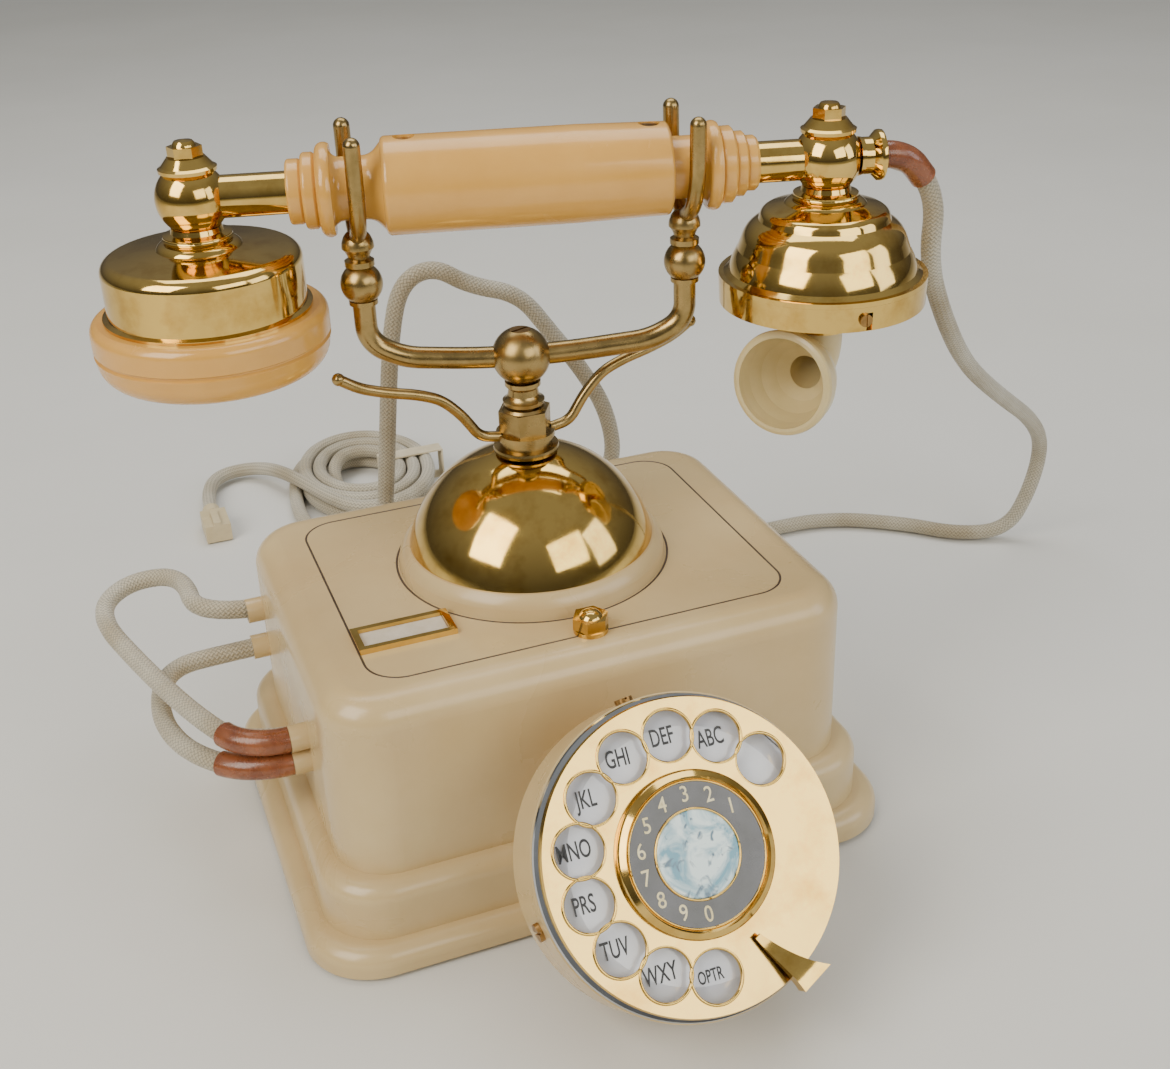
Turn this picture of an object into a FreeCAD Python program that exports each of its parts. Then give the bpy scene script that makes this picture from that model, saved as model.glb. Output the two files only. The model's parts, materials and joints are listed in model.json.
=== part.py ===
import FreeCAD, Part
import Sketcher
import math
import os

# Rotary telephone in the old French style: a pressed box with a bell dome on top,
# a cradle on a post, a handset with an ear cup and a swivelling mouth horn, and a
# finger dial held out in front on a short neck.
# Origin: centre of the standing face. +X to the viewer's right, +Y to the back, +Z up.

doc = FreeCAD.newDocument("rotary_telephone")
sheet = doc.addObject("Spreadsheet::Sheet", "Dim")

SIZES = [
    ("base_half_w", 97.0), ("base_half_d", 76.0), ("corner_rad", 22.0), ("foot_top", 10.0),
    ("step_in", 6.5), ("plinth_top", 28.5), ("plinth_low", 1.5), ("house_in", 13.0),
    ("house_top", 87.5), ("wall", 2.0), ("edge_rad", 9.0), ("pad_top", 3.0), ("pad_in", 7.0),
    ("plate_thick", 1.5), ("post_y", 3.0), ("seat_rad", 43.6),
    ("seat_top", 95.0), ("dome_rim", 39.5), ("dome_rise", 30.5), ("dome_thick", 1.2),
    ("sleeve_rad", 5.4), ("rod_rad", 4.0), ("run_gap", 0.08), ("fit_gap", 0.05),
    ("collar_top", 130.0), ("nut_top", 140.0), ("nut_half", 7.4), ("ball_z", 156.5),
    ("post_ball", 9.1), ("cradle_lift", 5.0), ("arm_rad", 3.4), ("arm_reach", 48.5),
    ("arm_shift", 2.5), ("fork_ball", 6.3), ("fork_ball_z", 183.0), ("hand_z", 211.5),
    ("tube_rad", 6.1), ("ear_at", 91.0), ("mic_at", 94.0), ("hand_ball", 10.4),
    ("grip_rad", 14.1), ("ear_rad", 28.9), ("cap_rad", 34.6), ("mic_rad", 31.9),
    ("dial_y", -123.5), ("dial_z", 59.3), ("dial_tilt", 51.6), ("wheel_rad", 42.3),
    ("wheel_thick", 1.4), ("hole_rad", 7.1), ("hole_ring", 31.9), ("cup_rad", 43.9),
    ("cup_deep", 29.0), ("bezel_rad", 41.2), ("hub_rad", 20.9), ("neck_rad", 17.0),
    ("neck_z", 48.0), ("cord_rad", 3.2), ("side_y_front", -24.0), ("side_y_back", 47.0),
    ("yaw", -14.0),
]
for row, (name, value) in enumerate(SIZES, start=1):
    sheet.set("A%d" % row, name)
    sheet.set("B%d" % row, str(value))
    sheet.setAlias("B%d" % row, name)
doc.recompute()


def val(name):
    return float(sheet.get(name))


V = FreeCAD.Vector
ROT = FreeCAD.Rotation
PLACE = FreeCAD.Placement
NODES = {}

# Three working frames: the world, the turned cradle and handset frame (X along the
# handset), and the dial frame (Z out of the dial's face).
WORLD = PLACE()
CRADLE = PLACE(V(0, val("post_y"), 0), ROT(V(0, 0, 1), val("yaw")))
DIAL = PLACE(V(0, val("dial_y"), val("dial_z")), ROT(V(1, 0, 0), val("dial_tilt")))
ALONG = ROT(V(0, 1, 0), 90)


def body(label, frame=WORLD):
    made = doc.addObject("PartDesign::Body", label)
    made.Label = label
    made.Placement = frame
    return made


def sketch(owner, plane, rise="0"):
    made = owner.newObject("Sketcher::SketchObject", owner.Name + "_sketch")
    for item in owner.Origin.OriginFeatures:
        if item.Role == plane:
            made.AttachmentSupport = [(item, "")]
    made.MapMode = "FlatFace"
    if rise != "0":
        made.setExpression(".AttachmentOffset.Base.z", rise)
    return made


def number(text):
    return float(sheet.evalExpression(text.replace("Dim.", "")))


def pin_point(target, geo, end, point):
    for kind, text in (("DistanceX", point[0]), ("DistanceY", point[1])):
        index = target.addConstraint(Sketcher.Constraint(kind, -1, 1, geo, end, number(text)))
        target.setExpression("Constraints[%d]" % index, text)


def add_arc(target, start, stop, radius):
    x0, y0 = number(start[0]), number(start[1])
    x1, y1 = number(stop[0]), number(stop[1])
    size = abs(number(radius))
    turn = -1.0 if radius.startswith("-") else 1.0
    half = math.hypot(x1 - x0, y1 - y0) / 2
    rise = math.sqrt(max(size * size - half * half, 0.0)) * turn
    cx = (x0 + x1) / 2 - (y1 - y0) / (2 * half) * rise
    cy = (y0 + y1) / 2 + (x1 - x0) / (2 * half) * rise
    a0, a1 = math.atan2(y0 - cy, x0 - cx), math.atan2(y1 - cy, x1 - cx)
    if turn < 0:
        a0, a1 = a1, a0
    circle = Part.Circle(V(cx, cy, 0), V(0, 0, 1), size)
    geo = target.addGeometry(Part.ArcOfCircle(circle, a0, a1), False)
    index = target.addConstraint(Sketcher.Constraint("Radius", geo, size))
    target.setExpression("Constraints[%d]" % index, radius.lstrip("-"))
    return geo, (1, 2) if turn > 0 else (2, 1)


def outline(target, points):
    """Closed outline. A third value on a point makes the run up to it an arc of that
    radius, left-turning when positive and right-turning when it starts with a minus."""
    ends = []
    for here, point in enumerate(points):
        last = points[here - 1]
        if len(point) == 3:
            geo, order = add_arc(target, last, point, point[2])
        else:
            line = Part.LineSegment(V(number(last[0]), number(last[1]), 0),
                                    V(number(point[0]), number(point[1]), 0))
            geo, order = target.addGeometry(line, False), (1, 2)
        ends.append((geo, order))
    for here, (geo, order) in enumerate(ends):
        after, after_order = ends[(here + 1) % len(ends)]
        target.addConstraint(Sketcher.Constraint("Coincident", geo, order[1], after, after_order[0]))
        pin_point(target, geo, order[1], points[here])


def round_box(half_w, half_d, rad):
    w, d, r = "(%s)" % half_w, "(%s)" % half_d, rad
    return [("-%s+%s" % (w, r), "-%s" % d, r), ("%s-%s" % (w, r), "-%s" % d),
            (w, "-%s+%s" % (d, r), r), (w, "%s-%s" % (d, r)),
            ("%s-%s" % (w, r), d, r), ("-%s+%s" % (w, r), d),
            ("-%s" % w, "%s-%s" % (d, r), r), ("-%s" % w, "-%s+%s" % (d, r))]


def pad(owner, points, low, high):
    base = sketch(owner, "XY_Plane", low)
    outline(base, points)
    made = owner.newObject("PartDesign::Pad", owner.Name + "_pad")
    made.Profile = base
    made.setExpression("Length", "(%s)-(%s)" % (high, low))
    owner.Tip = made
    return made


def pocket(owner, points, low, high):
    base = sketch(owner, "XY_Plane", low)
    outline(base, points)
    made = owner.newObject("PartDesign::Pocket", owner.Name + "_pocket")
    made.Profile = base
    made.Reversed = True
    made.setExpression("Length", "(%s)-(%s)" % (high, low))
    owner.Tip = made
    return made


def turned(label, points, frame=WORLD):
    """Solid of revolution about the frame's Z axis from (radius, height) points."""
    made = body(label, frame)
    base = sketch(made, "XZ_Plane")
    outline(base, points)
    spin = made.newObject("PartDesign::Revolution", label + "_turn")
    spin.Profile = base
    spin.ReferenceAxis = (base, ["V_Axis"])
    spin.Angle = 360
    made.Tip = spin
    return made


def fillet(owner, radius, height):
    """Rounds every edge that lies level at the given height."""
    doc.recompute()
    before = owner.Tip
    names = []
    for index, edge in enumerate(before.Shape.Edges, start=1):
        box = edge.BoundBox
        if abs(box.ZMin - height) < 0.01 and abs(box.ZMax - height) < 0.01:
            names.append("Edge%d" % index)
    made = owner.newObject("PartDesign::Fillet", owner.Name + "_fillet")
    made.Base = (before, names)
    made.setExpression("Radius", radius)
    owner.Tip = made
    return made


def rod(label, radius, height, frame):
    made = doc.addObject("Part::Cylinder", label)
    made.setExpression("Radius", radius)
    made.setExpression("Height", height)
    made.Placement = frame
    return made


def block(label, size, frame):
    made = doc.addObject("Part::Box", label)
    for key, text in zip(("Length", "Width", "Height"), size):
        made.setExpression(key, text)
    made.Placement = frame
    return made


def ball(label, radius, frame):
    made = doc.addObject("Part::Sphere", label)
    made.setExpression("Radius", radius)
    made.Placement = frame
    return made


def joined(label, items):
    made = doc.addObject("Part::MultiFuse", label)
    made.Shapes = items
    made.Refine = True
    return made


def cut_out(label, whole, tools):
    made = doc.addObject("Part::Cut", label)
    made.Base = whole
    made.Tool = tools[0] if len(tools) == 1 else joined(label + "_tools", tools)
    return made


def group(label, items):
    made = doc.addObject("Part::Compound", label)
    made.Links = items
    return made


def shaped(label, shape):
    made = doc.addObject("Part::Feature", label)
    made.Shape = shape
    return made


def keep(name, item):
    item.Label = name
    NODES[name] = item
    return item


def at(frame, x=0.0, y=0.0, z=0.0, turn=None):
    return frame.multiply(PLACE(V(x, y, z), turn if turn else ROT()))


def hexagon(label, half, low, high, frame, bore=None):
    """Hex prism, half = half the distance across flats, with a bore if given."""
    made = body(label, frame)
    side = "(%s)/cos(30)" % half
    corners = [("%s*%s" % (side, "cos(%d)" % a), "%s*%s" % (side, "sin(%d)" % a)) for a in range(0, 360,
            60)]
    pad(made, corners, low, high)
    if bore:
        base = sketch(made, "XY_Plane", low)
        geo = base.addGeometry(Part.Circle(V(0, 0, 0), V(0, 0, 1), number(bore)), False)
        base.addConstraint(Sketcher.Constraint("Coincident", geo, 3, -1, 1))
        index = base.addConstraint(Sketcher.Constraint("Radius", geo, number(bore)))
        base.setExpression("Constraints[%d]" % index, bore)
        hole = made.newObject("PartDesign::Pocket", label + "_bore")
        hole.Profile = base
        hole.Reversed = True
        hole.setExpression("Length", "(%s)-(%s)" % (high, low))
        made.Tip = hole
    return made


def tube_path(points):
    """Straight runs joined by tangent arcs through the corners, as one wire."""
    spots = [V(*p) for p in points]
    edges = []
    radii = []
    start = spots[0]
    for here in range(1, len(spots) - 1):
        back = spots[here - 1] - spots[here]
        ahead = spots[here + 1] - spots[here]
        turn = math.pi - back.getAngle(ahead)
        reach = 0.45 * min(back.Length, ahead.Length)
        radii.append(reach / math.tan(turn / 2))
        u = V(back).normalize()
        w = V(ahead).normalize()
        first, last = spots[here] + u * reach, spots[here] + w * reach
        middle = (u + w).normalize()
        centre = spots[here] + middle * (radii[-1] / math.cos(turn / 2))
        edges.append(Part.LineSegment(start, first).toShape())
        edges.append(Part.Arc(first, centre - middle * radii[-1], last).toShape())
        start = last
    edges.append(Part.LineSegment(start, spots[-1]).toShape())
    return Part.Wire(edges), radii


def tube_along(label, points, radius):
    wire, radii = tube_path(points)
    along = (V(*points[1]) - V(*points[0])).normalize()
    face = Part.Wire(Part.Circle(V(*points[0]), along, radius).toShape())
    solid = wire.makePipeShell([face], True, False)
    print("%s length %.1f least bend %.1f volume ratio %.4f"
          % (label, wire.Length, min(radii), solid.Volume / (math.pi * radius ** 2 * wire.Length)))
    return shaped(label, solid)


# Box: plinth, housing, bottom plate, feet and their screws.

HOUSE_W = "Dim.base_half_w-Dim.house_in"
HOUSE_D = "Dim.base_half_d-Dim.house_in+1"
HOUSE_R = "(Dim.corner_rad-4)"
STEP_W = "Dim.base_half_w-Dim.step_in"
STEP_D = "Dim.base_half_d-Dim.step_in+0.5"
POSTS = [(sx, sy) for sx in (-1, 1) for sy in (-1, 1)]


def make_plinth():
    made = body("plinth_body")
    pad(made, round_box("Dim.base_half_w", "Dim.base_half_d", "Dim.corner_rad"), "Dim.plinth_low",
        "Dim.foot_top")
    fillet(made, "5.5", val("foot_top"))
    pad(made, round_box(STEP_W, STEP_D, "(Dim.corner_rad-2)"), "Dim.foot_top-4", "Dim.plinth_top")
    fillet(made, "5.5", val("plinth_top"))
    pocket(made, round_box("Dim.base_half_w-2.5", "Dim.base_half_d-2.5", "(Dim.corner_rad-2)"),
           "Dim.plinth_low", "Dim.foot_top-3")
    pocket(made, round_box(STEP_W + "-2.5", STEP_D + "-2.5", "(Dim.corner_rad-4)"), "Dim.foot_top-3",
           "Dim.plinth_top-2")
    pocket(made, round_box(HOUSE_W + "-6", HOUSE_D + "-6", HOUSE_R), "Dim.plinth_top-2", "Dim.plinth_top")
    legs = []
    bores = []
    for sx, sy in POSTS:
        x = sx * (val("base_half_w") - 12)
        y = sy * (val("base_half_d") - 26)
        legs.append(rod("plinth_leg", "4", "Dim.foot_top+6", PLACE(V(x, y, val("pad_top") + 1.5), ROT())))
        bores.append(rod("plinth_leg_bore", "1.45", "12", PLACE(V(x, y, 0), ROT())))
    bores += rear_bores()
    whole = joined("plinth_whole", [made] + legs)
    return keep("plinth", cut_out("plinth", whole, bores))


def rear_bores():
    """Two openings in the plinth's back wall for the cord glands."""
    made = []
    for x in REAR_X:
        frame = PLACE(V(x, val("base_half_d") - 20, REAR_Z), ROT(V(1, 0, 0), -90))
        made.append(rod("rear_bore", "5", "24", frame))
    return made


REAR_X = (52.0, 20.0)
REAR_Z = 18.0


def make_housing():
    made = body("housing_body")
    pad(made, round_box(HOUSE_W, HOUSE_D, HOUSE_R), "Dim.plinth_top", "Dim.house_top")
    fillet(made, "Dim.edge_rad", val("house_top"))
    inner = body("housing_inner")
    pad(inner, round_box(HOUSE_W + "-Dim.wall", HOUSE_D + "-Dim.wall", "(Dim.corner_rad-6)"),
        "Dim.plinth_top-1", "Dim.house_top-Dim.wall")
    fillet(inner, "Dim.edge_rad-Dim.wall", val("house_top") - val("wall"))
    cuts = [inner]
    cuts.append(rod("sleeve_pass", "Dim.sleeve_rad+Dim.fit_gap", "20",
                    PLACE(V(0, val("post_y"), 78), ROT())))
    cuts.append(rod("stem_pass", "2.05", "20", PLACE(V(0, NUT_Y, 78), ROT())))
    front = PLACE(V(0, -val("base_half_d"), val("neck_z")), ROT(V(1, 0, 0), -90))
    cuts.append(rod("neck_pass", "Dim.neck_rad-3", "30", front))
    for y, z in side_spots():
        frame = PLACE(V(-val("base_half_w"), y, z), ROT(V(0, 1, 0), 90))
        cuts.append(rod("side_pass", "Dim.cord_rad+0.1", "30", frame))
    return keep("housing", cut_out("housing", made, cuts))


NUT_Y = -50.0


def side_spots():
    front, back = val("side_y_front"), val("side_y_back")
    return [(front, 56.5), (front, 48.0), (back, 62.5), (back, 48.0)]


CASE_SCREWS = []


def make_bottom():
    made = body("bottom_plate_body")
    pad(made, round_box("Dim.base_half_w-4", "Dim.base_half_d-4", "(Dim.corner_rad-3.5)"),
        "Dim.pad_top", "Dim.pad_top+Dim.plate_thick")
    holes = []
    screws = []
    pad_holes = []
    for sx, sy in POSTS:
        x = sx * (val("base_half_w") - 12)
        y = sy * (val("base_half_d") - 26)
        holes.append(rod("plate_hole", "1.6", "6", PLACE(V(x, y, 0), ROT())))
        shank = rod("screw_shank", "1.4", "9", PLACE(V(x, y, val("pad_top") - 0.5), ROT()))
        head = rod("screw_head", "3", "1.2", PLACE(V(x, y, val("pad_top") - 1.2), ROT()))
        slot = block("screw_slot", ("6.4", "0.8", "0.6"),
                     PLACE(V(x - 3.2, y - 0.4, val("pad_top") - 1.21), ROT()))
        screws.append(cut_out("bottom_screw", joined("bottom_screw_whole", [shank, head]), [slot]))
        pad_holes.append(rod("pad_hole", "4", "6", PLACE(V(x, y, -1), ROT())))
    keep("bottom_plate", cut_out("bottom_plate", made, holes))
    CASE_SCREWS.extend(screws)
    felt = body("felt_pad_body")
    pad(felt, round_box("Dim.base_half_w-Dim.pad_in", "Dim.base_half_d-Dim.pad_in", "(Dim.corner_rad-6)"),
        "0", "Dim.pad_top")
    keep("felt_pad", cut_out("felt_pad", felt, pad_holes))


# Bell dome on its ivory seat, post sleeve, collar, guard arms and lock nut.

def make_dome():
    frame = PLACE(V(0, val("post_y"), 0), ROT())
    sleeve = "Dim.sleeve_rad+Dim.fit_gap"
    keep("bell_seat", turned("bell_seat", [
        (sleeve, "Dim.house_top"), ("Dim.seat_rad", "Dim.house_top"),
        ("Dim.seat_rad-0.6", "Dim.house_top+3.5"),
        ("Dim.dome_rim+0.8", "Dim.seat_top", "8"), (sleeve, "Dim.seat_top")], frame))
    ball_rad = "((Dim.dome_rim^2+Dim.dome_rise^2)/(2*Dim.dome_rise))"
    centre = "(Dim.seat_top+Dim.dome_rise-%s)" % ball_rad
    inner = "(%s-Dim.dome_thick)" % ball_rad
    hole = "(Dim.sleeve_rad+Dim.fit_gap)"
    keep("dome", turned("dome", [
        ("Dim.dome_rim-Dim.dome_thick", "Dim.seat_top"), ("Dim.dome_rim", "Dim.seat_top"),
        (hole, "%s+sqrt(%s^2-%s^2)" % (centre, ball_rad, hole), ball_rad),
        (hole, "%s+sqrt(%s^2-%s^2)" % (centre, inner, hole)),
        ("Dim.dome_rim-Dim.dome_thick-0.02", "Dim.seat_top+0.6", "-%s" % inner)], frame))
    keep("post_sleeve", turned("post_sleeve", [
        ("Dim.rod_rad+Dim.run_gap", "62"), ("Dim.sleeve_rad+3", "62"), ("Dim.sleeve_rad+3", "65"),
        ("Dim.sleeve_rad", "65"), ("Dim.sleeve_rad", "Dim.nut_top"),
        ("Dim.rod_rad+Dim.run_gap", "Dim.nut_top")], frame))
    flange = "(%s+sqrt(%s^2-%s^2)+0.02)" % (centre, ball_rad, hole)
    keep("post_collar", turned("post_collar", [
        (sleeve, flange), ("10.2", flange), ("10.4", "%s+1" % flange), ("10.2", "%s+1.8" % flange),
        ("8.2", "%s+2" % flange), ("8.2", "Dim.collar_top-1"), ("8.6", "Dim.collar_top-1"),
        ("8.6", "Dim.collar_top"), (sleeve, "Dim.collar_top")], frame))
    nut = hexagon("lock_nut_hex", "Dim.nut_half", "Dim.collar_top+1.6", "Dim.nut_top-0.8", frame, sleeve)
    cap = turned("lock_nut_cap", [
        (sleeve, "Dim.nut_top-0.8"), ("Dim.nut_half-0.3", "Dim.nut_top-0.8"),
        ("Dim.nut_half-1", "Dim.nut_top"),
        (sleeve, "Dim.nut_top")], frame)
    keep("lock_nut", joined("lock_nut", [nut, cap]))


GUARD = [(7.6, 130.8), (14, 132.0), (19.5, 140.5), (25.5, 146.6), (33, 149.6), (42, 151.8), (50, 154.6),
         (56, 158.6)]


def make_guard_arms():
    frame = PLACE(V(0, val("post_y"), 0), ROT())
    ring = turned("guard_ring", [
        ("Dim.sleeve_rad+Dim.fit_gap", "Dim.collar_top"), ("9.3", "Dim.collar_top"),
        ("9.3", "Dim.collar_top+1.6"),
        ("Dim.sleeve_rad+Dim.fit_gap", "Dim.collar_top+1.6")], frame)
    pieces = [ring]
    for side in (-1, 1):
        spots = [(side * (x + 0.9), val("post_y"), z) for x, z in GUARD]
        pieces.append(tube_along("guard_arm", spots, 1.7))
        pieces.append(ball("guard_tip", "1.95", PLACE(V(*spots[-1]), ROT())))
    keep("guard_arms", joined("guard_arms", pieces))


# Small brass parts on the top face.

LABEL_X = -67.0
LABEL_Y = -35.5


def make_top_parts():
    top = val("house_top")
    corner = PLACE(V(LABEL_X, LABEL_Y, top), ROT())
    outer = block("label_outer", ("30", "13", "1.8"), corner)
    inner = block("label_inner", ("26", "9.4", "4"), at(corner, 2, 1.8, -1))
    keep("label_frame", cut_out("label_frame", outer, [inner]))
    keep("label_card", block("label_card", ("25.8", "9.2", "0.6"), at(corner, 2.1, 1.9)))
    frame = PLACE(V(0, NUT_Y, 0), ROT())
    washer = rod("nut_washer", "5.3", "1.4", at(frame, z=top))
    flats = hexagon("nut_flats", "4.9", "Dim.house_top+1.4", "Dim.house_top+5.2", frame)
    dome = turned("nut_dome", [("0", "Dim.house_top+5.2"), ("3.6", "Dim.house_top+5.2"),
                               ("0", "Dim.house_top+7.2", "4.2")], frame)
    stem = rod("nut_stem", "2", "14", at(frame, z=top - 12))
    back_nut = hexagon("nut_back", "3.6", "Dim.house_top-Dim.wall-3", "Dim.house_top-Dim.wall", frame)
    keep("terminal_nut", joined("terminal_nut", [washer, flats, dome, stem, back_nut]))


# Dial: neck, cup, bezel, letter plate, finger wheel, hub and what drives them.

def make_dial_fixed():
    cup = turned("dial_cup_turn", [
        ("Dim.cup_rad-2", "-4.5"), ("Dim.cup_rad", "-5.1"), ("Dim.cup_rad", "4-Dim.cup_deep"),
        ("Dim.cup_rad-4", "-Dim.cup_deep", "-4"), ("6", "-Dim.cup_deep"), ("6", "2-Dim.cup_deep"),
        ("Dim.cup_rad-7", "2-Dim.cup_deep"), ("Dim.cup_rad-2", "7-Dim.cup_deep", "5")], DIAL)
    back = -val("cup_deep")
    spot = DIAL.multVec(V(0, 0, back))
    side_cuts = [rod("cup_screw_hole", "1.3", "12", cup_screw_frame(a)) for a in CUP_SCREWS]
    wall_y = -(val("base_half_d") - val("house_in") + 1)
    axis = ROT(V(1, 0, 0), 90)
    low = PLACE(V(0, wall_y, val("neck_z")), axis)
    reach = wall_y - spot.y
    outer = rod("neck_outer", "Dim.neck_rad", str(reach + 30), low)
    flange = rod("neck_flange", "Dim.neck_rad+1.8", "3", low)
    neck = joined("neck_whole", [outer, flange])
    bore = rod("neck_bore", "Dim.neck_rad-3", "120", PLACE(V(0, 0, val("neck_z")), axis))
    ahead = block("neck_trim", ("200", "200", "100"), DIAL.multiply(PLACE(V(-100, -100, back), ROT())))
    keep("dial_neck", cut_out("dial_neck", neck, [bore, ahead]))
    keep("dial_cup", cut_out("dial_cup", cup, side_cuts))
    CASE_SCREWS.extend([cup_screw(a) for a in CUP_SCREWS])
    keep("case_screws", group("case_screws", CASE_SCREWS))
    keep("dial_bezel", turned("dial_bezel", [
        ("Dim.bezel_rad-1.6", "-6.9"), ("Dim.cup_rad-2.05", "-6.9"), ("Dim.cup_rad-2.05", "-4.45"),
        ("Dim.cup_rad-0.4", "-4.45"), ("Dim.cup_rad-0.7", "-3.7"), ("Dim.bezel_rad-0.4", "-3.3"),
        ("Dim.bezel_rad-1.6", "-4.2")],
        DIAL))
    keep("letter_plate", turned("letter_plate", [
        ("8", "-5.4"), ("Dim.bezel_rad-1.7", "-5.4"), ("Dim.bezel_rad-1.7", "-4.6"),
        ("Dim.wheel_rad-8", "-3.2"),
        ("8", "-3.2")], DIAL))
    frame_disc = turned("dial_frame_disc", [
        ("8", "-7.2"), ("Dim.bezel_rad-1.7", "-7.2"), ("Dim.bezel_rad-1.7", "-5.5"), ("8", "-5.5")], DIAL)
    hub = turned("dial_frame_hub", [
        ("3.58", "-16"), ("7", "-16"), ("7", "-9"), ("9", "-7.2"), ("3.58", "-7.2")], DIAL)
    bridge = turned("dial_frame_ring", [("7.9", "-7.2"), ("9", "-7.2"), ("9", "-5.5"), ("7.9", "-5.5")],
                    DIAL)
    core = joined("dial_frame_core", [frame_disc, hub, bridge])
    FRAME_PARTS.append(core)


CUP_SCREWS = (96.0, 192.0, 312.0)
FRAME_PARTS = []


def cup_screw_frame(angle):
    turn = ROT(V(0, 0, 1), angle).multiply(ROT(V(0, 1, 0), -90))
    return DIAL.multiply(PLACE(ROT(V(0, 0, 1), angle).multVec(V(val("cup_rad") + 5, 0, -12)), turn))


def cup_screw(angle):
    frame = cup_screw_frame(angle)
    head = rod("cup_screw_head", "2.6", "1.3", at(frame, z=3.7))
    shank = rod("cup_screw_shank", "1.2", "6.4", at(frame, z=4.9))
    slot = block("cup_screw_slot", ("5.6", "0.7", "0.6"), at(frame, -2.8, -0.35, 3.65))
    return cut_out("cup_screw", joined("cup_screw_whole", [head, shank]), [slot])


HOLE_START = 37.5
HOLE_STEP = 25.3
STOP_ANGLE = -62.0


def make_dial_wheel():
    disc = turned("wheel_disc", [
        ("Dim.hub_rad-2", "0-Dim.wheel_thick"), ("Dim.wheel_rad-1", "0-Dim.wheel_thick"),
        ("Dim.wheel_rad", "0-Dim.wheel_thick+0.5"),
        ("Dim.wheel_rad-0.4", "0"), ("Dim.hub_rad-2", "0.6")], DIAL)
    cuts = []
    for index in range(10):
        angle = math.radians(HOLE_START + HOLE_STEP * index)
        x, y = val("hole_ring") * math.cos(angle), val("hole_ring") * math.sin(angle)
        cuts.append(rod("finger_hole", "Dim.hole_rad", "6", at(DIAL, x, y, -3)))
    keep("finger_wheel", cut_out("finger_wheel", disc, cuts))
    keep("hub_ring", turned("hub_ring", [
        ("Dim.hub_rad-2.05", "-1.4"), ("Dim.hub_rad-2.05", "0.62"), ("Dim.hub_rad+0.9", "0.55"),
        ("Dim.hub_rad+1.3", "1.4"), ("Dim.hub_rad+0.9", "3", "1.4"),
        ("Dim.hub_rad-0.6", "4"), ("Dim.hub_rad-1.3", "3"), ("Dim.hub_rad-1.6", "2"), ("3.45", "2"),
        ("3.45", "-1.4")], DIAL))
    keep("number_disc", turned("number_disc", [
        ("Dim.hub_rad-9", "2"), ("Dim.hub_rad-1.65", "2"), ("Dim.hub_rad-1.65", "2.8"),
        ("Dim.hub_rad-9", "2.8")], DIAL))
    keep("centre_disc", turned("centre_disc", [
        ("0", "2"), ("Dim.hub_rad-9.05", "2"), ("Dim.hub_rad-9.05", "2.9"), ("Dim.hub_rad-9.6", "3.2"),
        ("0", "3.4")], DIAL))
    shaft = turned("dial_shaft_turn", [
        ("0", "-20"), ("3.5", "-20"), ("3.5", "-1.5"), ("3.4", "-1.5"), ("3.4", "1.95"), ("0", "1.95")],
        DIAL)
    keep("dial_shaft",
         joined("dial_shaft", [shaft, gear("main_gear", 18.0, 48, -18.6, -17.0, 3.4, DIAL)]))


def gear(label, rad, teeth, low, high, bore, frame):
    """Plain spur wheel: a trapezoid per tooth on a pitch circle of the given radius."""
    spots = []
    step = 2 * math.pi / teeth
    for index in range(teeth):
        for part, r in ((-0.24, rad - 0.75), (-0.10, rad + 0.55), (0.10, rad + 0.55), (0.24, rad - 0.75)):
            angle = step * (index + part)
            spots.append(V(r * math.cos(angle), r * math.sin(angle), low))
    face = Part.Face(Part.makePolygon(spots + spots[:1]))
    solid = face.extrude(V(0, 0, high - low))
    solid = solid.cut(Part.makeCylinder(bore, high - low + 2, V(0, 0, low - 1)))
    made = shaped(label, solid)
    made.Placement = frame
    return made


def make_dial_train():
    """Pulse pinion with its cam, the worm governor, and the contact springs it opens."""
    gap = 18.0 + 4.875 + 0.6
    angle = math.radians(150.0)
    spot = at(DIAL, gap * math.cos(angle), gap * math.sin(angle), 0, ROT(V(0, 0, 1), 150.0 + PINION_SET))
    wheel = gear("cam_pinion", 4.875, 13, -18.6, -17.0, 1.2, spot)
    arbor = rod("cam_arbor", "1.25", "11", at(spot, z=-21.5))
    lobe = block("cam_lobe", ("7", "2.4", "1.6"), at(spot, -3.5, -1.2, -13.2))
    keep("pulse_cam", joined("pulse_cam", [wheel, arbor, lobe]))
    other = math.radians(255.0)
    seat = at(DIAL, gap * math.cos(other), gap * math.sin(other), 0, ROT(V(0, 0, 1), 255.0 + PINION_SET))
    drive = gear("governor_pinion", 4.875, 13, -18.6, -17.0, 1.2, seat)
    arbor2 = rod("governor_arbor", "1.25", "12", at(seat, z=-21.5))
    drum = rod("governor_drum", "5.6", "3.4", at(seat, z=-14.4))
    keep("governor", joined("governor", [drive, arbor2, drum]))
    leaves = []
    base = at(DIAL, gap * math.cos(angle), gap * math.sin(angle), 0, ROT(V(0, 0, 1), 60.0))
    for row in range(3):
        leaves.append(block("leaf", ("22", "0.5", "3"), at(base, -8, 5.0 + row * 1.6, -13.6)))
    stack = block("leaf_stack", ("6", "5.2", "9.2"), at(base, 9, 4.2, -16.4))
    keep("dial_frame", group("dial_frame", [FRAME_PARTS[0], joined("pulse_contacts", leaves + [stack])]))


PINION_SET = 0.0


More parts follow.
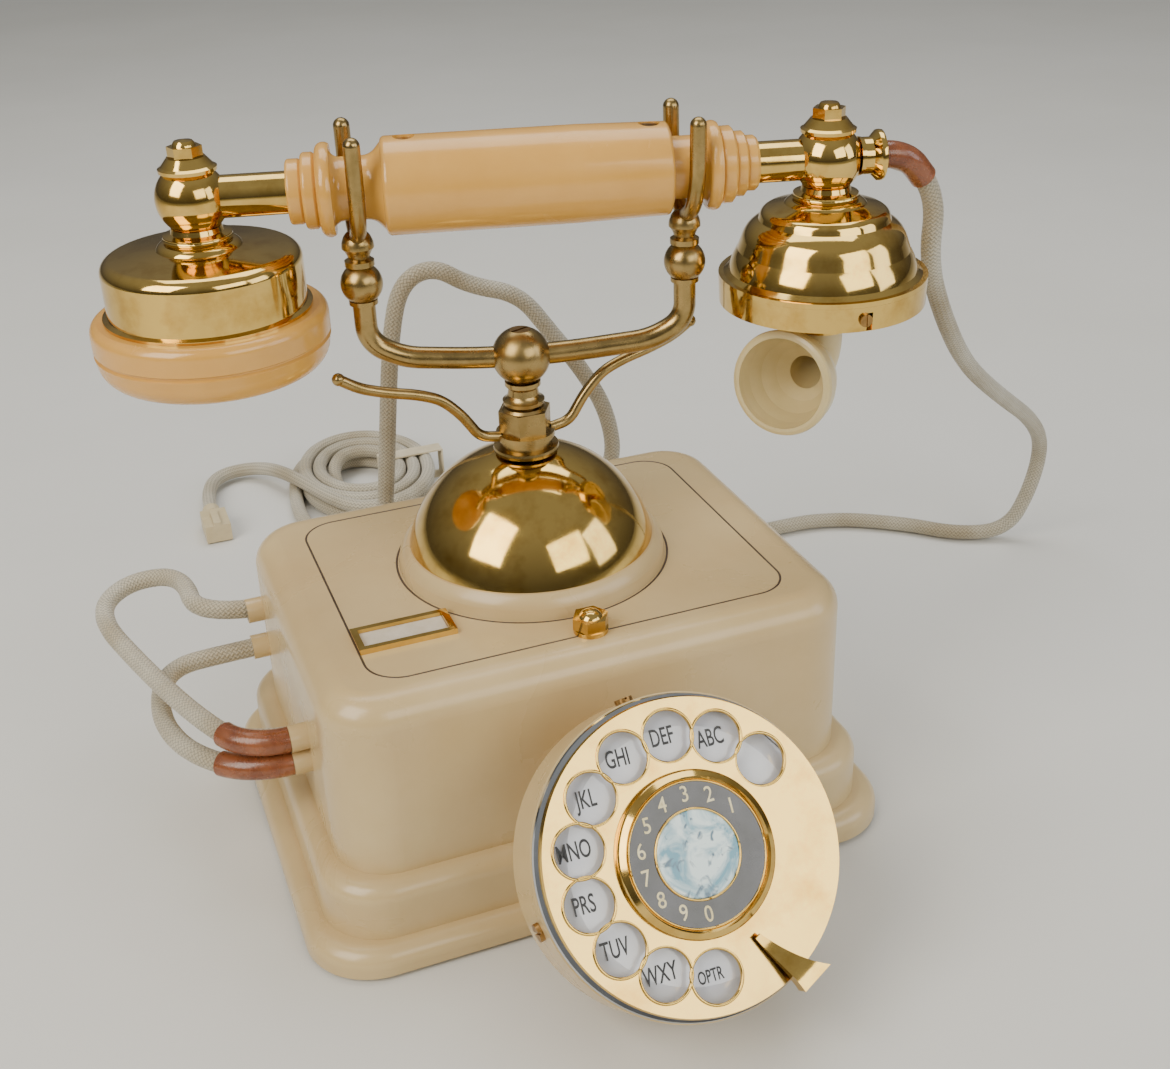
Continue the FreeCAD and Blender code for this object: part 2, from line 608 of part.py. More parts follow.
def make_finger_stop():
    """Curved brass hook: a foot on the frame outside the wheel, an arm over the wheel."""
    a = math.radians(STOP_ANGLE)
    out = V(math.cos(a), math.sin(a), 0)
    side = V(-math.sin(a), math.cos(a), 0)
    blade = []
    rim = val("wheel_rad")
    for reach, wide, aside, low, high in ((rim - 15.5, 1.8, -2.4, 1.6, 2.6), (rim - 9.5, 3.4, -1.6, 1.8, 3.6),
                                          (rim - 4.5, 5.2, -0.6, 2.0, 5.0), (rim + 2.6, 10.0, 1.4, 1.6, 6.4)):
        mid = out * reach + side * aside
        ring = [mid + side * (wide / 2) + V(0, 0, low), mid - side * (wide / 2) + V(0, 0, low),
                mid - side * (wide / 2) + V(0, 0, high), mid + side * (wide / 2) + V(0, 0, high)]
        blade.append(Part.makePolygon(ring + ring[:1]))
    solid = Part.makeLoft(blade, True, False)
    near, far, foot = rim + 0.35, rim + 2.4, -3.59
    strap = Part.makePolygon([out * near + side * 2 + V(0, 0, foot), out * near - side * 2 + V(0, 0, foot),
                              out * far - side * 2 + V(0, 0, foot), out * far + side * 2 + V(0, 0, foot),
                              out * near + side * 2 + V(0, 0, foot)])
    leg = Part.Face(strap).extrude(V(0, 0, 2.0 - foot))
    made = shaped("finger_stop", solid.fuse(leg).removeSplitter())
    made.Placement = DIAL
    keep("finger_stop", made)


# Cradle: post with its ball, bent cross tube, two forks, set screw and return spring.

def make_cradle():
    flat = CRADLE
    post = turned("post_turn", [
        ("0", "54"), ("Dim.rod_rad", "54"), ("Dim.rod_rad", "Dim.nut_top+1"), ("6.4", "Dim.nut_top+1"),
        ("6.6", "Dim.nut_top+2.2"), ("4.9", "Dim.nut_top+4", "-3"), ("4.6", "Dim.nut_top+6"),
        ("5.6", "Dim.nut_top+7"), ("5.6", "Dim.nut_top+8.4"), ("0", "Dim.nut_top+8.4")], flat)
    sphere = ball("post_ball", "Dim.post_ball", at(flat, z=val("ball_z")))
    cross = rod("cross_bore", "Dim.arm_rad", "40", at(flat, -20, 0, val("ball_z"), ALONG))
    seat = rod("screw_seat", "3.3", "5", at(flat, z=val("ball_z") + val("post_ball") - 2.4))
    hole = rod("screw_hole", "1.5", "8", at(flat, z=val("ball_z") + val("post_ball") - 5.4))
    keep("cradle_post", cut_out("cradle_post", joined("post_whole", [post, sphere]), [cross, seat, hole]))
    head = rod("set_head", "3.2", "1.8", at(flat, z=val("ball_z") + val("post_ball") - 2.4))
    shank = rod("set_shank", "1.45", "2.6", at(flat, z=val("ball_z") + val("post_ball") - 4.95))
    slot = block("set_slot", ("8", "0.9", "0.9"),
                 at(flat, 0, 0, val("ball_z") + val("post_ball") - 1.45,
                    ROT(V(0, 0, 1), 35)).multiply(PLACE(V(-4, -0.45, 0), ROT())))
    keep("post_screw", cut_out("post_screw", joined("set_whole", [head, shank]), [slot]))
    left, right = val("arm_shift") - val("arm_reach"), val("arm_shift") + val("arm_reach")
    low, high = val("ball_z"), val("fork_ball_z") - val("fork_ball")
    spots = [(left, 0, high - 0.1), (left, 0, low + 8), (left + 10.5, 0, low + 2.2), (-12, 0, low),
             (12, 0, low),
             (right - 10.5, 0, low + 2.2), (right, 0, low + 8), (right, 0, high - 0.1)]
    tube = tube_along("cross_tube", spots, val("arm_rad"))
    tube.Placement = flat
    keep("cross_tube", tube)
    keep("forks", group("forks", [make_fork("fork_left", left), make_fork("fork_right", right)]))
    spring = Part.makeHelix(2.7, 12.9, 3.2)
    ring = Part.Wire(Part.Circle(V(3.2, 0, 0), V(0, 1, 0), 0.45).toShape())
    coil = shaped("cradle_spring", Part.Wire(spring.Edges).makePipeShell([ring], True, True))
    coil.Placement = at(flat, z=40.5)
    keep("cradle_spring", coil)


FORK_TURN = 7.0


def make_fork(label, where):
    frame = at(CRADLE, where, 0, 0, ROT(V(0, 0, 1), FORK_TURN))
    z = val("fork_ball_z")
    stem = turned(label + "_stem", [
        ("0", "Dim.fork_ball_z-Dim.fork_ball+0.1"), ("4.3", "Dim.fork_ball_z-Dim.fork_ball+0.1"),
        ("4.3", "Dim.fork_ball_z-4.9"),
        ("3", "Dim.fork_ball_z-4.9"), ("3", "Dim.fork_ball_z+5"), ("4.4", "Dim.fork_ball_z+5.6"),
        ("4.4", "Dim.fork_ball_z+7.2"),
        ("3.2", "Dim.fork_ball_z+8"), ("4.8", "Dim.fork_ball_z+11", "-6"),
        ("4.3", "Dim.fork_ball_z+13.6", "6"),
        ("2.2", "Dim.fork_ball_z+16", "4"), ("0", "Dim.fork_ball_z+16")], frame)
    items = [stem, ball(label + "_ball", "Dim.fork_ball", at(frame, z=z))]
    for side in (-1, 1):
        spots = [(0, side * 0.6, z + 14), (0, side * 9, z + 18.6), (0, side * 12.7, z + 28),
                 (0, side * 13.2, z + 43.5)]
        prong = tube_along(label + "_prong", spots, 2.4)
        prong.Placement = frame
        items += [prong, ball(label + "_tip", "2.4", at(frame, 0, side * 13.2, z + 43.5))]
    return joined(label, items)


# Handset: axial tube, grip, two end balls with their trim, ear cup and mouth bell.

HAND_SCREWS = []
COLLARS = []


def make_handset():
    line = at(CRADLE, 0, 0, val("hand_z"), ALONG)
    ear, mic = val("ear_at"), val("mic_at")
    keep("handset_tube", turned("handset_tube", [
        ("Dim.tube_rad-1.2", "8-Dim.ear_at"), ("Dim.tube_rad", "8-Dim.ear_at"),
        ("Dim.tube_rad", "Dim.mic_at-8"),
        ("Dim.tube_rad-1.2", "Dim.mic_at-8")], line))
    bore = "(Dim.tube_rad+0.02)"
    grip = turned("grip_turn", [
        (bore, "-64"), ("8.6", "-64"), ("9.3", "-63", "1"), ("9.3", "-60.4"), ("8.9", "-59.8"),
        ("10.2", "-59.6"),
        ("10.9", "-58.6", "1.2"), ("10.9", "-56.4"), ("10.3", "-55.7"), ("11.8", "-55.4"),
        ("13.4", "-53.4", "2.4"),
        ("12.9", "-51.4", "2.4"), ("9.1", "-49", "-2.8"), ("9.1", "-42"), ("11", "-38.4", "-5"),
        ("12.6", "-37"),
        ("Dim.grip_rad", "-35.6", "1.6"), ("Dim.grip_rad", "20"), ("Dim.grip_rad-0.6", "45.2"),
        ("12.4", "46.2", "1.4"), ("9.1", "47"),
        ("9.1", "55"), ("11.6", "56.8", "-2.4"), ("12.8", "58.2", "1.8"), ("12.6", "60.4", "2.4"),
        ("10.8", "61"), ("11.2", "61.8", "0.9"),
        ("11.2", "64.4"), ("10.6", "65"), ("9.1", "65.2"), ("9.5", "66", "0.9"), ("9.5", "68"),
        ("9", "68.5"), ("7.8", "68.7"), ("8.1", "69.4", "0.8"), ("8.1", "71.4"),
        ("7.5", "72.2"), (bore, "72.2")], line)
    screws = []
    holes = []
    for s in (-30.0, 40.5):
        spot = at(CRADLE, s, 0, val("hand_z"))
        holes.append(rod("grip_screw_bore", "1.6", "20", at(spot, z=5.5)))
        holes.append(rod("grip_screw_seat", "3.2", "6", at(spot, z=11.4)))
        shank = rod("grip_screw_shank", "1.45", "6", at(spot, z=6.2))
        head = rod("grip_screw_head", "3.0", "1.5", at(spot, z=11.45))
        slot = block("grip_screw_slot", ("7", "0.8", "0.7"), at(spot, -3.5, -0.4, 12.4))
        screws.append(cut_out("grip_screw", joined("grip_screw_whole", [shank, head]), [slot]))
    keep("grip", cut_out("grip", grip, holes))
    HAND_SCREWS.extend(screws)
    balls = []
    finials = []
    collars = []
    for where, inward in ((-ear, 1), (mic, -1)):
        spot = at(CRADLE, where, 0, val("hand_z"))
        sphere = ball("hand_sphere", "Dim.hand_ball", spot)
        start = at(spot, inward * 7.9 if inward > 0 else -27.9, 0, 0, ALONG)
        cuts = [rod("hand_bore", "Dim.tube_rad+0.02", "20", start)]
        cuts.append(block("hand_top", ("30", "30", "10"), at(spot, -15, -15, 8)))
        cuts.append(block("hand_low", ("30", "30", "10"), at(spot, -15, -15, -18)))
        if inward < 0:
            cuts.append(block("hand_end", ("10", "30", "30"), at(spot, 9.2, -15, -15)))
        balls.append(cut_out("hand_ball_cut", sphere, cuts))
        cone = turned("finial_cone", [
            ("0", "8"), ("8.2", "8"), ("8.3", "9"), ("7.4", "9.6"), ("5.4", "12"), ("0", "12")], spot)
        nut = hexagon("finial_nut", "4.3", "12", "15", spot)
        tip = turned("finial_tip", [("0", "15"), ("3.4", "15"), ("2.6", "16.4", "3"), ("0", "16.8")],
                     spot)
        finials.append(joined("finial", [cone, nut, tip]))
        collars.append(turned("ball_collar", [
            ("3", "-8"), ("7.2", "-8"), ("7.6", "-9.4"), ("9.8", "-10"), ("10.1", "-11", "0.9"),
            ("9.6", "-12"), ("3", "-12")], spot))
    keep("joint_balls", group("joint_balls", balls))
    keep("finials", group("finials", finials))
    COLLARS.extend(collars)


def make_ear_end():
    spot = at(CRADLE, -val("ear_at"), 0, val("hand_z"))
    keep("ear_cup", turned("ear_cup", [
        ("3", "-12.02"), ("10", "-12.02"), ("12.4", "-13.8", "-3"),
        ("Dim.ear_rad-3.6", "-15.4"), ("Dim.ear_rad", "-18.8", "-3.8"),
        ("Dim.ear_rad", "-31.6"), ("Dim.ear_rad+1.4", "-32.2"), ("Dim.ear_rad+1.4", "-33"),
        ("Dim.ear_rad-1.4", "-33"), ("Dim.ear_rad-1.4", "-19.6"),
        ("Dim.ear_rad-4", "-17.2", "2.8"), ("12", "-15.6"), ("3", "-15.2")], spot))
    holes = []
    cap = turned("ear_cap_turn", [
        ("0", "-42"), ("Dim.ear_rad-0.6", "-42"), ("Dim.ear_rad-0.6", "-33.05"),
        ("Dim.cap_rad-2.4", "-33.05"), ("Dim.cap_rad", "-36.2", "-3.2"),
        ("Dim.cap_rad", "-41"), ("Dim.cap_rad-0.8", "-41.6"), ("Dim.cap_rad-0.8", "-42"),
        ("Dim.cap_rad-0.1", "-42.6"), ("Dim.cap_rad-0.6", "-45"),
        ("Dim.cap_rad-7", "-51.4", "-7"), ("Dim.cap_rad-10", "-51.4"), ("8", "-46"), ("0", "-46")],
        spot)
    for ring, count in ((0.0, 1), (4.6, 6)):
        for index in range(count):
            angle = 2 * math.pi * index / count
            holes.append(rod("ear_hole", "0.9", "6",
                             at(spot, ring * math.cos(angle), ring * math.sin(angle), -47)))
    keep("ear_cap", cut_out("ear_cap", cap, holes))
    keep("receiver_capsule", turned("receiver_capsule", [
        ("0", "-41.9"), ("25.5", "-41.9"), ("25.5", "-36"), ("22", "-35"), ("9", "-35"), ("9", "-27"),
        ("0", "-27")], spot))


def make_mic_end():
    spot = at(CRADLE, val("mic_at"), 0, val("hand_z"))
    keep("mic_bell", turned("mic_bell", [
        ("3", "-12.02"), ("9.6", "-12.02"), ("12.4", "-13.2", "-3"), ("17.2", "-14.6"),
        ("19.6", "-16.8", "-3"), ("20", "-18"), ("21", "-18.6"), ("25", "-23.6", "-9"), ("26.2", "-27"),
        ("Dim.mic_rad-3.2", "-33.2", "-20"), ("Dim.mic_rad-1.6", "-34.4"), ("Dim.mic_rad", "-34.5"),
        ("Dim.mic_rad", "-36"), ("Dim.mic_rad-4.6", "-36"), ("24.2", "-28.6"), ("18", "-20.6"),
        ("10", "-15.2"), ("3", "-15.2")], spot))
    band = turned("mic_band_turn", [
        ("Dim.mic_rad-1.7", "-36.02"), ("Dim.mic_rad", "-36.02"), ("Dim.mic_rad-0.3", "-43.4"),
        ("9.4", "-44.2"), ("9.4", "-42.8"), ("Dim.mic_rad-1.7", "-42.4")], spot)
    face = at(spot, 0, 0, -39.8, ROT(V(0, 0, 1), -96.0 - val("yaw"))).multiply(PLACE(V(0, 0, 0), ALONG))
    slot = block("band_slot", ("5.4", "1.8", "4"), at(face, -2.0, 0.6, val("mic_rad") - 2.5))
    hole = rod("band_hole", "1.05", "8", at(face, z=val("mic_rad") - 5))
    keep("mic_band", cut_out("mic_band", band, [slot, hole]))
    head = rod("band_head", "1.9", "1.0", at(face, z=val("mic_rad") - 0.05))
    shank = rod("band_shank", "1.0", "3.8", at(face, z=val("mic_rad") - 3.8))
    cut = block("band_screw_slot", ("5", "0.6", "0.5"), at(face, -2.5, -0.3, val("mic_rad") + 0.6))
    HAND_SCREWS.append(cut_out("band_screw", joined("band_screw_whole", [head, shank]), [cut]))
    keep("handset_screws", group("handset_screws", HAND_SCREWS))
    keep("microphone_capsule", turned("microphone_capsule", [
        ("0", "-41.2"), ("23", "-41.2"), ("23", "-33"), ("14", "-30"), ("0", "-30")], spot))
    COLLARS.append(turned("horn_collar", [
        ("7.1", "-44.3"), ("10.4", "-44.3"), ("10.4", "-46.6"), ("9.1", "-47.4"), ("9.1", "-52.6"),
        ("7.1", "-52.6")], spot))
    keep("handset_collars", group("handset_collars", COLLARS))
    tilt = ROT(V(0, 0, 1), HORN_TURN - val("yaw"))
    lead = at(spot, 0, 0, 0, tilt)
    wire = tube_path([(0, 0, -44.4), (0, 0, -66.2), (0, -27.0, -62.4)])[0]
    start = Part.Wire(Part.Circle(V(0, 0, -44.4), V(0, 0, -1), 7.02).toShape())
    hollow = Part.Wire(Part.Circle(V(0, 0, -44.4), V(0, 0, -1), 5.2).toShape())
    stem = wire.makePipeShell([start], True, False)
    bore = wire.makePipeShell([hollow], True, False)
    flare = horn_flare()
    horn = stem.fuse(flare[0]).cut(bore).cut(flare[1])
    lip = shaped("mouthpiece_horn", horn.removeSplitter())
    lip.Placement = lead
    keep("mouthpiece_horn", lip)
    keep("cord_ferrule", turned("cord_ferrule", [
        ("3.3", "Dim.mic_at+9.25"), ("5.8", "Dim.mic_at+9.25"), ("5.5", "Dim.mic_at+10.6"),
        ("5.5", "Dim.mic_at+13"), ("7.4", "Dim.mic_at+14.8", "-2.4"),
        ("7.4", "Dim.mic_at+16.4"), ("6", "Dim.mic_at+17"), ("3.3", "Dim.mic_at+17")][::-1],
        at(CRADLE, 0, 0, val("hand_z"), ALONG)))


HORN_TURN = -54.0


def horn_flare():
    """Outer and inner bells of the horn, both opening forwards and a little up."""
    tilt = math.radians(8.0)
    spin = V(0, -math.cos(tilt), math.sin(tilt))
    across = V(1, 0, 0)
    base = V(0, -7.5, -65.15)
    solids = []
    for points in (((0, 0), (6.9, 0), (10.2, 3.6), (13.4, 8.4), (15.4, 13.6), (16.3, 18.6), (16, 19.6),
                    (15, 20), (0, 20)),
                   ((0, 2), (5.1, 2), (8.4, 5.4), (11.4, 9.8), (13.1, 14.6), (13.8, 18), (14.1, 21), (0, 21))):
        spots = [base + across * r + spin * d for r, d in points]
        face = Part.Face(Part.makePolygon(spots + spots[:1]))
        solids.append(face.revolve(base, spin, 360))
    return solids


# Works inside the box: hook switch, network board, ringer with its moving clapper.

def make_inside():
    frame = CRADLE
    foot = block("hook_foot", ("32", "12", "2"), at(frame, -16, -6, 38))
    left = block("hook_leg", ("2", "12", "45.4"), at(frame, -16, -6, 40))
    right = block("hook_leg_b", ("2", "12", "45.4"), at(frame, 14, -6, 40))
    stack = block("hook_stack", ("5", "10", "12"), at(frame, 9, -5, 40))
    keep("hook_switch", joined("hook_switch", [foot, left, right, stack]))
    z = val("pad_top") + val("plate_thick")
    board = block("board_sheet", ("44", "60", "1.6"), PLACE(V(34, -30, z + 6), ROT()))
    pieces = [board]
    for x, y in ((38, -26), (74, -26), (38, 26), (74, 26)):
        pieces.append(rod("board_leg", "2.4", "6", PLACE(V(x, y, z), ROT())))
    pieces.append(rod("board_can", "7", "20", PLACE(V(48, 10, z + 7.6), ROT())))
    pieces.append(block("board_coil", ("18", "16", "14"), PLACE(V(56, -22, z + 7.6), ROT())))
    pieces.append(block("board_strip", ("8", "40", "9"), PLACE(V(66, -6, z + 7.6), ROT())))
    keep("network_board", joined("network_board", pieces))
    y = RINGER_Y
    plate = block("ringer_plate", ("92", "24", "2"), PLACE(V(-74, y - 12, z), ROT()))
    legs = [rod("gong_leg", "2.2", "25.5", PLACE(V(x, y, z + 2), ROT())) for x in GONG_X]
    magnet = block("ringer_magnet", ("30", "18", "6"), PLACE(V(-43, y - 9, z + 2), ROT()))
    cores = [rod("ringer_core", "2.4", "15", PLACE(V(x, y, z + 8), ROT())) for x in (-36, -20)]
    pivot = block("ringer_post", ("4", "2", "20"), PLACE(V(-30, y + 9.2, z + 1.8), ROT()))
    pivot_b = block("ringer_post_b", ("4", "2", "20"), PLACE(V(-30, y - 11.2, z + 1.8), ROT()))
    frame_part = joined("ringer_chassis", [plate, magnet, pivot, pivot_b] + legs + cores)
    coils = []
    for x in (-36, -20):
        coil = turned("ringer_coil",
                      [("2.5", "%s" % (z + 9)), ("6.6", "%s" % (z + 9)), ("6.6", "%s" % (z + 21)),
                       ("2.5", "%s" % (z + 21))],
                      PLACE(V(x, y, 0), ROT()))
        coils.append(coil)
    keep("ringer_frame", group("ringer_frame", [frame_part] + coils))
    gongs = []
    for x in GONG_X:
        low = z + 27.6
        gongs.append(turned("gong", [
            ("0", "%s" % low), ("2.8", "%s" % low), ("2.8", "%s" % (low + 7)), ("8", "%s" % (low + 6.4)),
            ("12.4", "%s" % low, "-8"),
            ("13.6", "%s" % low), ("8.6", "%s" % (low + 7.8), "8"), ("0", "%s" % (low + 8.4))],
            PLACE(V(x, y, 0), ROT())))
    keep("ringer_gongs", group("ringer_gongs", gongs))
    bar = block("armature", ("23", "11", "1.6"), PLACE(V(-39.5, y - 5.5, z + 24.2), ROT()))
    arbor = rod("armature_pin", "1", "18.2", PLACE(V(-28, y + 9.1, z + 25), ROT(V(1, 0, 0), 90)))
    arm = rod("clapper_arm", "0.9", "9.4", PLACE(V(-28, y, z + 25.6), ROT()))
    knob = ball("clapper_ball", "2.6", PLACE(V(-28, y, z + 36), ROT()))
    keep("ringer_clapper", joined("ringer_clapper", [bar, arbor, arm, knob]))


RINGER_Y = 30.0
GONG_X = (-46.6, -9.4)


# Cords and what holds them.

LOOP_UPPER = [(-70, -24, 56.5), (-102, -24, 56.5), (-114, 0, 56.3), (-126, 36, 55.5), (-138, 75, 57.5),
              (-126, 90, 60), (-106, 84, 62), (-106, 47, 62.5), (-70, 47, 62.5)]
LOOP_LOWER = [(-70, -24, 48), (-102, -24, 48), (-119, -4, 46.5), (-125, 22, 45.8), (-119, 47, 47),
              (-98, 47.0, 48.0), (-70, 47, 48)]
HANDSET_CORD = [(100.18, -21.98, 211.5), (114.5, -25.55, 211.5), (129, -22, 196), (133, -14, 172),
                (152, 2, 144), (176, 20, 116), (210, 42, 89), (241, 61, 66), (256, 71, 47),
                (254, 73.5, 24), (247, 77, 4.6), (226, 84, 3.6), (209, 103, 3.6), (180, 122, 3.6),
                (146, 123, 3.6), (112, 122, 3.6), (84, 118, 4.5), (62, 110, 10), (52, 92, 18),
                (52, 60, 18)]
LINE_CORD = [(20, 60, 18), (20, 92, 18), (36, 109, 24), (58, 111, 40), (70, 104, 62), (66, 100, 86),
             (56, 99, 106), (42, 98, 126), (31, 98, 142), (12, 98, 148), (-1, 98, 157.5),
             (-13.5, 98.5, 152.5), (-18.5, 99.5, 133), (-22, 101, 103), (-24, 105, 76), (-26, 112, 48),
             (-28, 123, 22), (-30, 144, 5), (-31, 170, 3.6), (-36, 200, 3.6), (-43, 226, 3.6)]


def make_cords():
    radius = val("cord_rad")
    keep("loop_cord_upper", tube_along("loop_cord_upper", LOOP_UPPER, radius))
    keep("loop_cord_lower", tube_along("loop_cord_lower", LOOP_LOWER, radius))
    keep("handset_cord", tube_along("handset_cord", HANDSET_CORD, radius))
    keep("line_cord", tube_along("line_cord", LINE_CORD + hank_points()[1:], radius))
    make_cord_trim()


HANK_AT = (-5.0, 250.0)
LAP_STEPS = 12
LAP_PITCH = 8.4
WIDEST = 42.0


def hank_points():
    """A flat oval spiral wound inwards on the surface, then outwards one cord higher,
    and over the edge to the plug."""
    points = [LINE_CORD[-1]]
    turn = 360.0 / LAP_STEPS
    for step in range(3 * LAP_STEPS):
        points.append(oval_spot(180 - turn * step, WIDEST - LAP_PITCH * step / LAP_STEPS, 3.6))
    inmost = WIDEST - 3 * LAP_PITCH
    for step in range(3 * LAP_STEPS - 1):
        rise = min(10.6, 3.6 + 2.4 * (step + 1))
        points.append(oval_spot(180 - turn * step, inmost + LAP_PITCH * step / LAP_STEPS, rise))
    return points + [(-40, 262, 10.2), (-52, 286, 5.2), (-72, 284, 5.0), (-80, 262, 5.0), (-80, 240, 5.0)]


def oval_spot(angle, size, rise):
    turn = math.radians(angle)
    return (HANK_AT[0] + 0.84 * size * math.cos(turn), HANK_AT[1] + 1.1 * size * math.sin(turn), rise)


def make_cord_trim():
    glands = []
    for y, z in side_spots():
        frame = PLACE(V(-(val("base_half_w") - val("house_in")) - 5.5, y, z), ROT(V(0, 1, 0), 90))
        outer = rod("side_gland_outer", "4.2", "5.5", frame)
        bore = rod("side_gland_bore", "Dim.cord_rad+0.06", "12", at(frame, z=-3))
        glands.append(cut_out("side_gland", outer, [bore]))
    keep("cord_sleeves", group("cord_sleeves", [amber_sleeve(LOOP_UPPER), amber_sleeve(LOOP_LOWER)]))
    rear = []
    for x in REAR_X:
        frame = PLACE(V(x, val("base_half_d") - val("step_in") + 0.5 - 4, REAR_Z), ROT(V(1, 0, 0), -90))
        gland = turned("rear_gland_turn", [
            ("Dim.cord_rad+0.06", "0"), ("4.9", "0"), ("4.9", "4.1"), ("6.4", "4.1"), ("6.4", "6.4"),
            ("4.3", "17"),
            ("Dim.cord_rad+0.06", "17")], frame)
        rear.append(gland)
    keep("cord_glands", group("cord_glands", glands + rear))
    keep("handset_cord_sleeve", hang_sleeve())
    keep("hank_tie", hank_tie())
    keep("line_plug", line_plug())


def path_edges(points, count):
    wire = tube_path(points)[0]
    return Part.Wire(wire.OrderedEdges[:count])


def ring_along(wire, where, along, outer, inner):
    skin = Part.Wire(Part.Circle(where, along, outer).toShape())
    bore = Part.Wire(Part.Circle(where, along, inner).toShape())
    return wire.makePipeShell([skin], True, False).cut(wire.makePipeShell([bore], True, False))


def amber_sleeve(points):
    """Clear amber tube over the cord where it leaves its gland, bent with the cord."""
    wire = path_edges(points, 2)
    tube = ring_along(wire, V(*points[0]), V(-1, 0, 0), val("cord_rad") + 0.8, val("cord_rad") + 0.04)
    x = -(val("base_half_w") - val("house_in")) - 5.6
    keep_out = Part.makeBox(200, 200, 200, V(x, -100, 0))
    return shaped("amber_sleeve", tube.cut(keep_out))


def hang_sleeve():
    """Amber tube over the handset cord just outside the ferrule."""
    wire = path_edges(HANDSET_CORD, 3)
    along = (V(*HANDSET_CORD[1]) - V(*HANDSET_CORD[0])).normalize()
    tube = ring_along(wire, V(*HANDSET_CORD[0]), along, val("cord_rad") + 0.9, val("cord_rad") + 0.04)
    s = val("mic_at") + 17.3
    inside = Part.makeBox(60, 60, 60, V(s - 60, -30, val("hand_z") - 30))
    inside.Placement = CRADLE.multiply(inside.Placement)
    return shaped("handset_cord_sleeve", tube.cut(inside))


def hank_tie():
    """Flat cloth tie round the wound cord on its right side."""
    room = val("cord_rad") + 0.5
    x0 = HANK_AT[0] + 0.84 * (WIDEST - 3 * LAP_PITCH) - room - 1.5
    x1 = HANK_AT[0] + 0.84 * WIDEST + room
    y = HANK_AT[1]
    outer = Part.makeBox(x1 - x0 + 1.4, 8, 14.7, V(x0 - 0.7, y - 4, 0.05))
    inner = Part.makeBox(x1 - x0, 10, 13.7, V(x0, y - 5, 0.35))
    return shaped("hank_tie", outer.cut(inner))


def line_plug():
    """Flat modular plug with its latch, at the free end of the line cord."""
    x, y, z = hank_points()[-1]
    shell = Part.makeBox(11.6, 18, 8.2, V(x - 5.8, y - 18, z - 4.3))
    latch = Part.makeBox(3.2, 14, 1.0, V(x - 1.6, y - 18, z + 4.4))
    root = Part.makeBox(3.2, 2, 1.6, V(x - 1.6, y - 18, z + 3.8))
    boot = Part.makeCylinder(4.2, 6, V(x, y - 0.01, z), V(0, 1, 0))
    bore = Part.makeCylinder(val("cord_rad") + 0.05, 7, V(x, y, z), V(0, 1, 0))
    return shaped("line_plug", shell.fuse([latch, root, boot]).cut(bore))


def all_parts():
    make_plinth()
    make_housing()
    make_bottom()
    make_dome()
    make_guard_arms()
    make_top_parts()
    make_dial_fixed()
    make_dial_wheel()
    make_dial_train()
    make_finger_stop()
    make_cradle()
    make_handset()
    make_ear_end()
    make_mic_end()
    make_inside()
    make_cords()


def write_parts():
    doc.recompute()
    os.makedirs("parts", exist_ok=True)
    for item in doc.Objects:
        if "Invalid" in item.State or "Error" in item.State:
            raise RuntimeError("%s is in state %s" % (item.Label, item.State))
    total = 0
    for name, item in sorted(NODES.items()):
        shape = item.Shape
        if shape.isNull() or not shape.isValid() or not shape.Solids:
            raise RuntimeError("%s has no valid solid" % name)
        total += len(shape.Solids)
        shape.exportStep("parts/%s.step" % name)
    print("nodes %d, solids %d" % (len(NODES), total))


all_parts()
write_parts()
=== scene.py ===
import json
import math

import bmesh
import bpy
from mathutils import Matrix, Vector


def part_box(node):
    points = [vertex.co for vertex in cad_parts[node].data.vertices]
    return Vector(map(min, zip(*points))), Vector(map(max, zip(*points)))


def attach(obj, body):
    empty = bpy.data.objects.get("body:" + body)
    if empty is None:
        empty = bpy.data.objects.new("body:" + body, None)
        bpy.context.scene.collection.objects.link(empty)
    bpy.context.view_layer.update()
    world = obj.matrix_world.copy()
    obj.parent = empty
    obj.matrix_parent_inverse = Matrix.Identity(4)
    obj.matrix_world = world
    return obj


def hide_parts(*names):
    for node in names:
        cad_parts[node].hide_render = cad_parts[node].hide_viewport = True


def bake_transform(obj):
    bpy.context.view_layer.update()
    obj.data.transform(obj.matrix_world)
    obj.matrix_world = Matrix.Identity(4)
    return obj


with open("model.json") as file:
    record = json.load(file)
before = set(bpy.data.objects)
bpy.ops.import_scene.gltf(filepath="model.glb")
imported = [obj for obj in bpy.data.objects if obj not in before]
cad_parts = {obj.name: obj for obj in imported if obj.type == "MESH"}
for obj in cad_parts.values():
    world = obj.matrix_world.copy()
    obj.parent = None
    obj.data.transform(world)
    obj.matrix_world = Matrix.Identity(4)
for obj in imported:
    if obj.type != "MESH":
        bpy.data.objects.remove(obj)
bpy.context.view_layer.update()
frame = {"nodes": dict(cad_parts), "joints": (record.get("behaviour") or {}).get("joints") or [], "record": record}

# Rotary telephone in the old French style. Metres; +Z up, +Y to the back, +X to the right.

NODES = frame["nodes"]
JOINTS = {joint["name"]: joint for joint in frame["joints"]}
MM = 0.001
SCENE = bpy.context.scene


# ---------------------------------------------------------------- camera and light

EYE = (-0.1309, -0.4043, 0.32365)
LOOK_AZIMUTH = math.radians(-20.54)
LOOK_DOWN = math.radians(27.48)
LOOK_ROLL = math.radians(-1.94)
LENS_MM = 45.69
LENS_SHIFT = (-0.0066, -0.0191)
NEAREST = 0.01
WORLD_STRENGTH = 0.46
FLOOR_REACH = 9

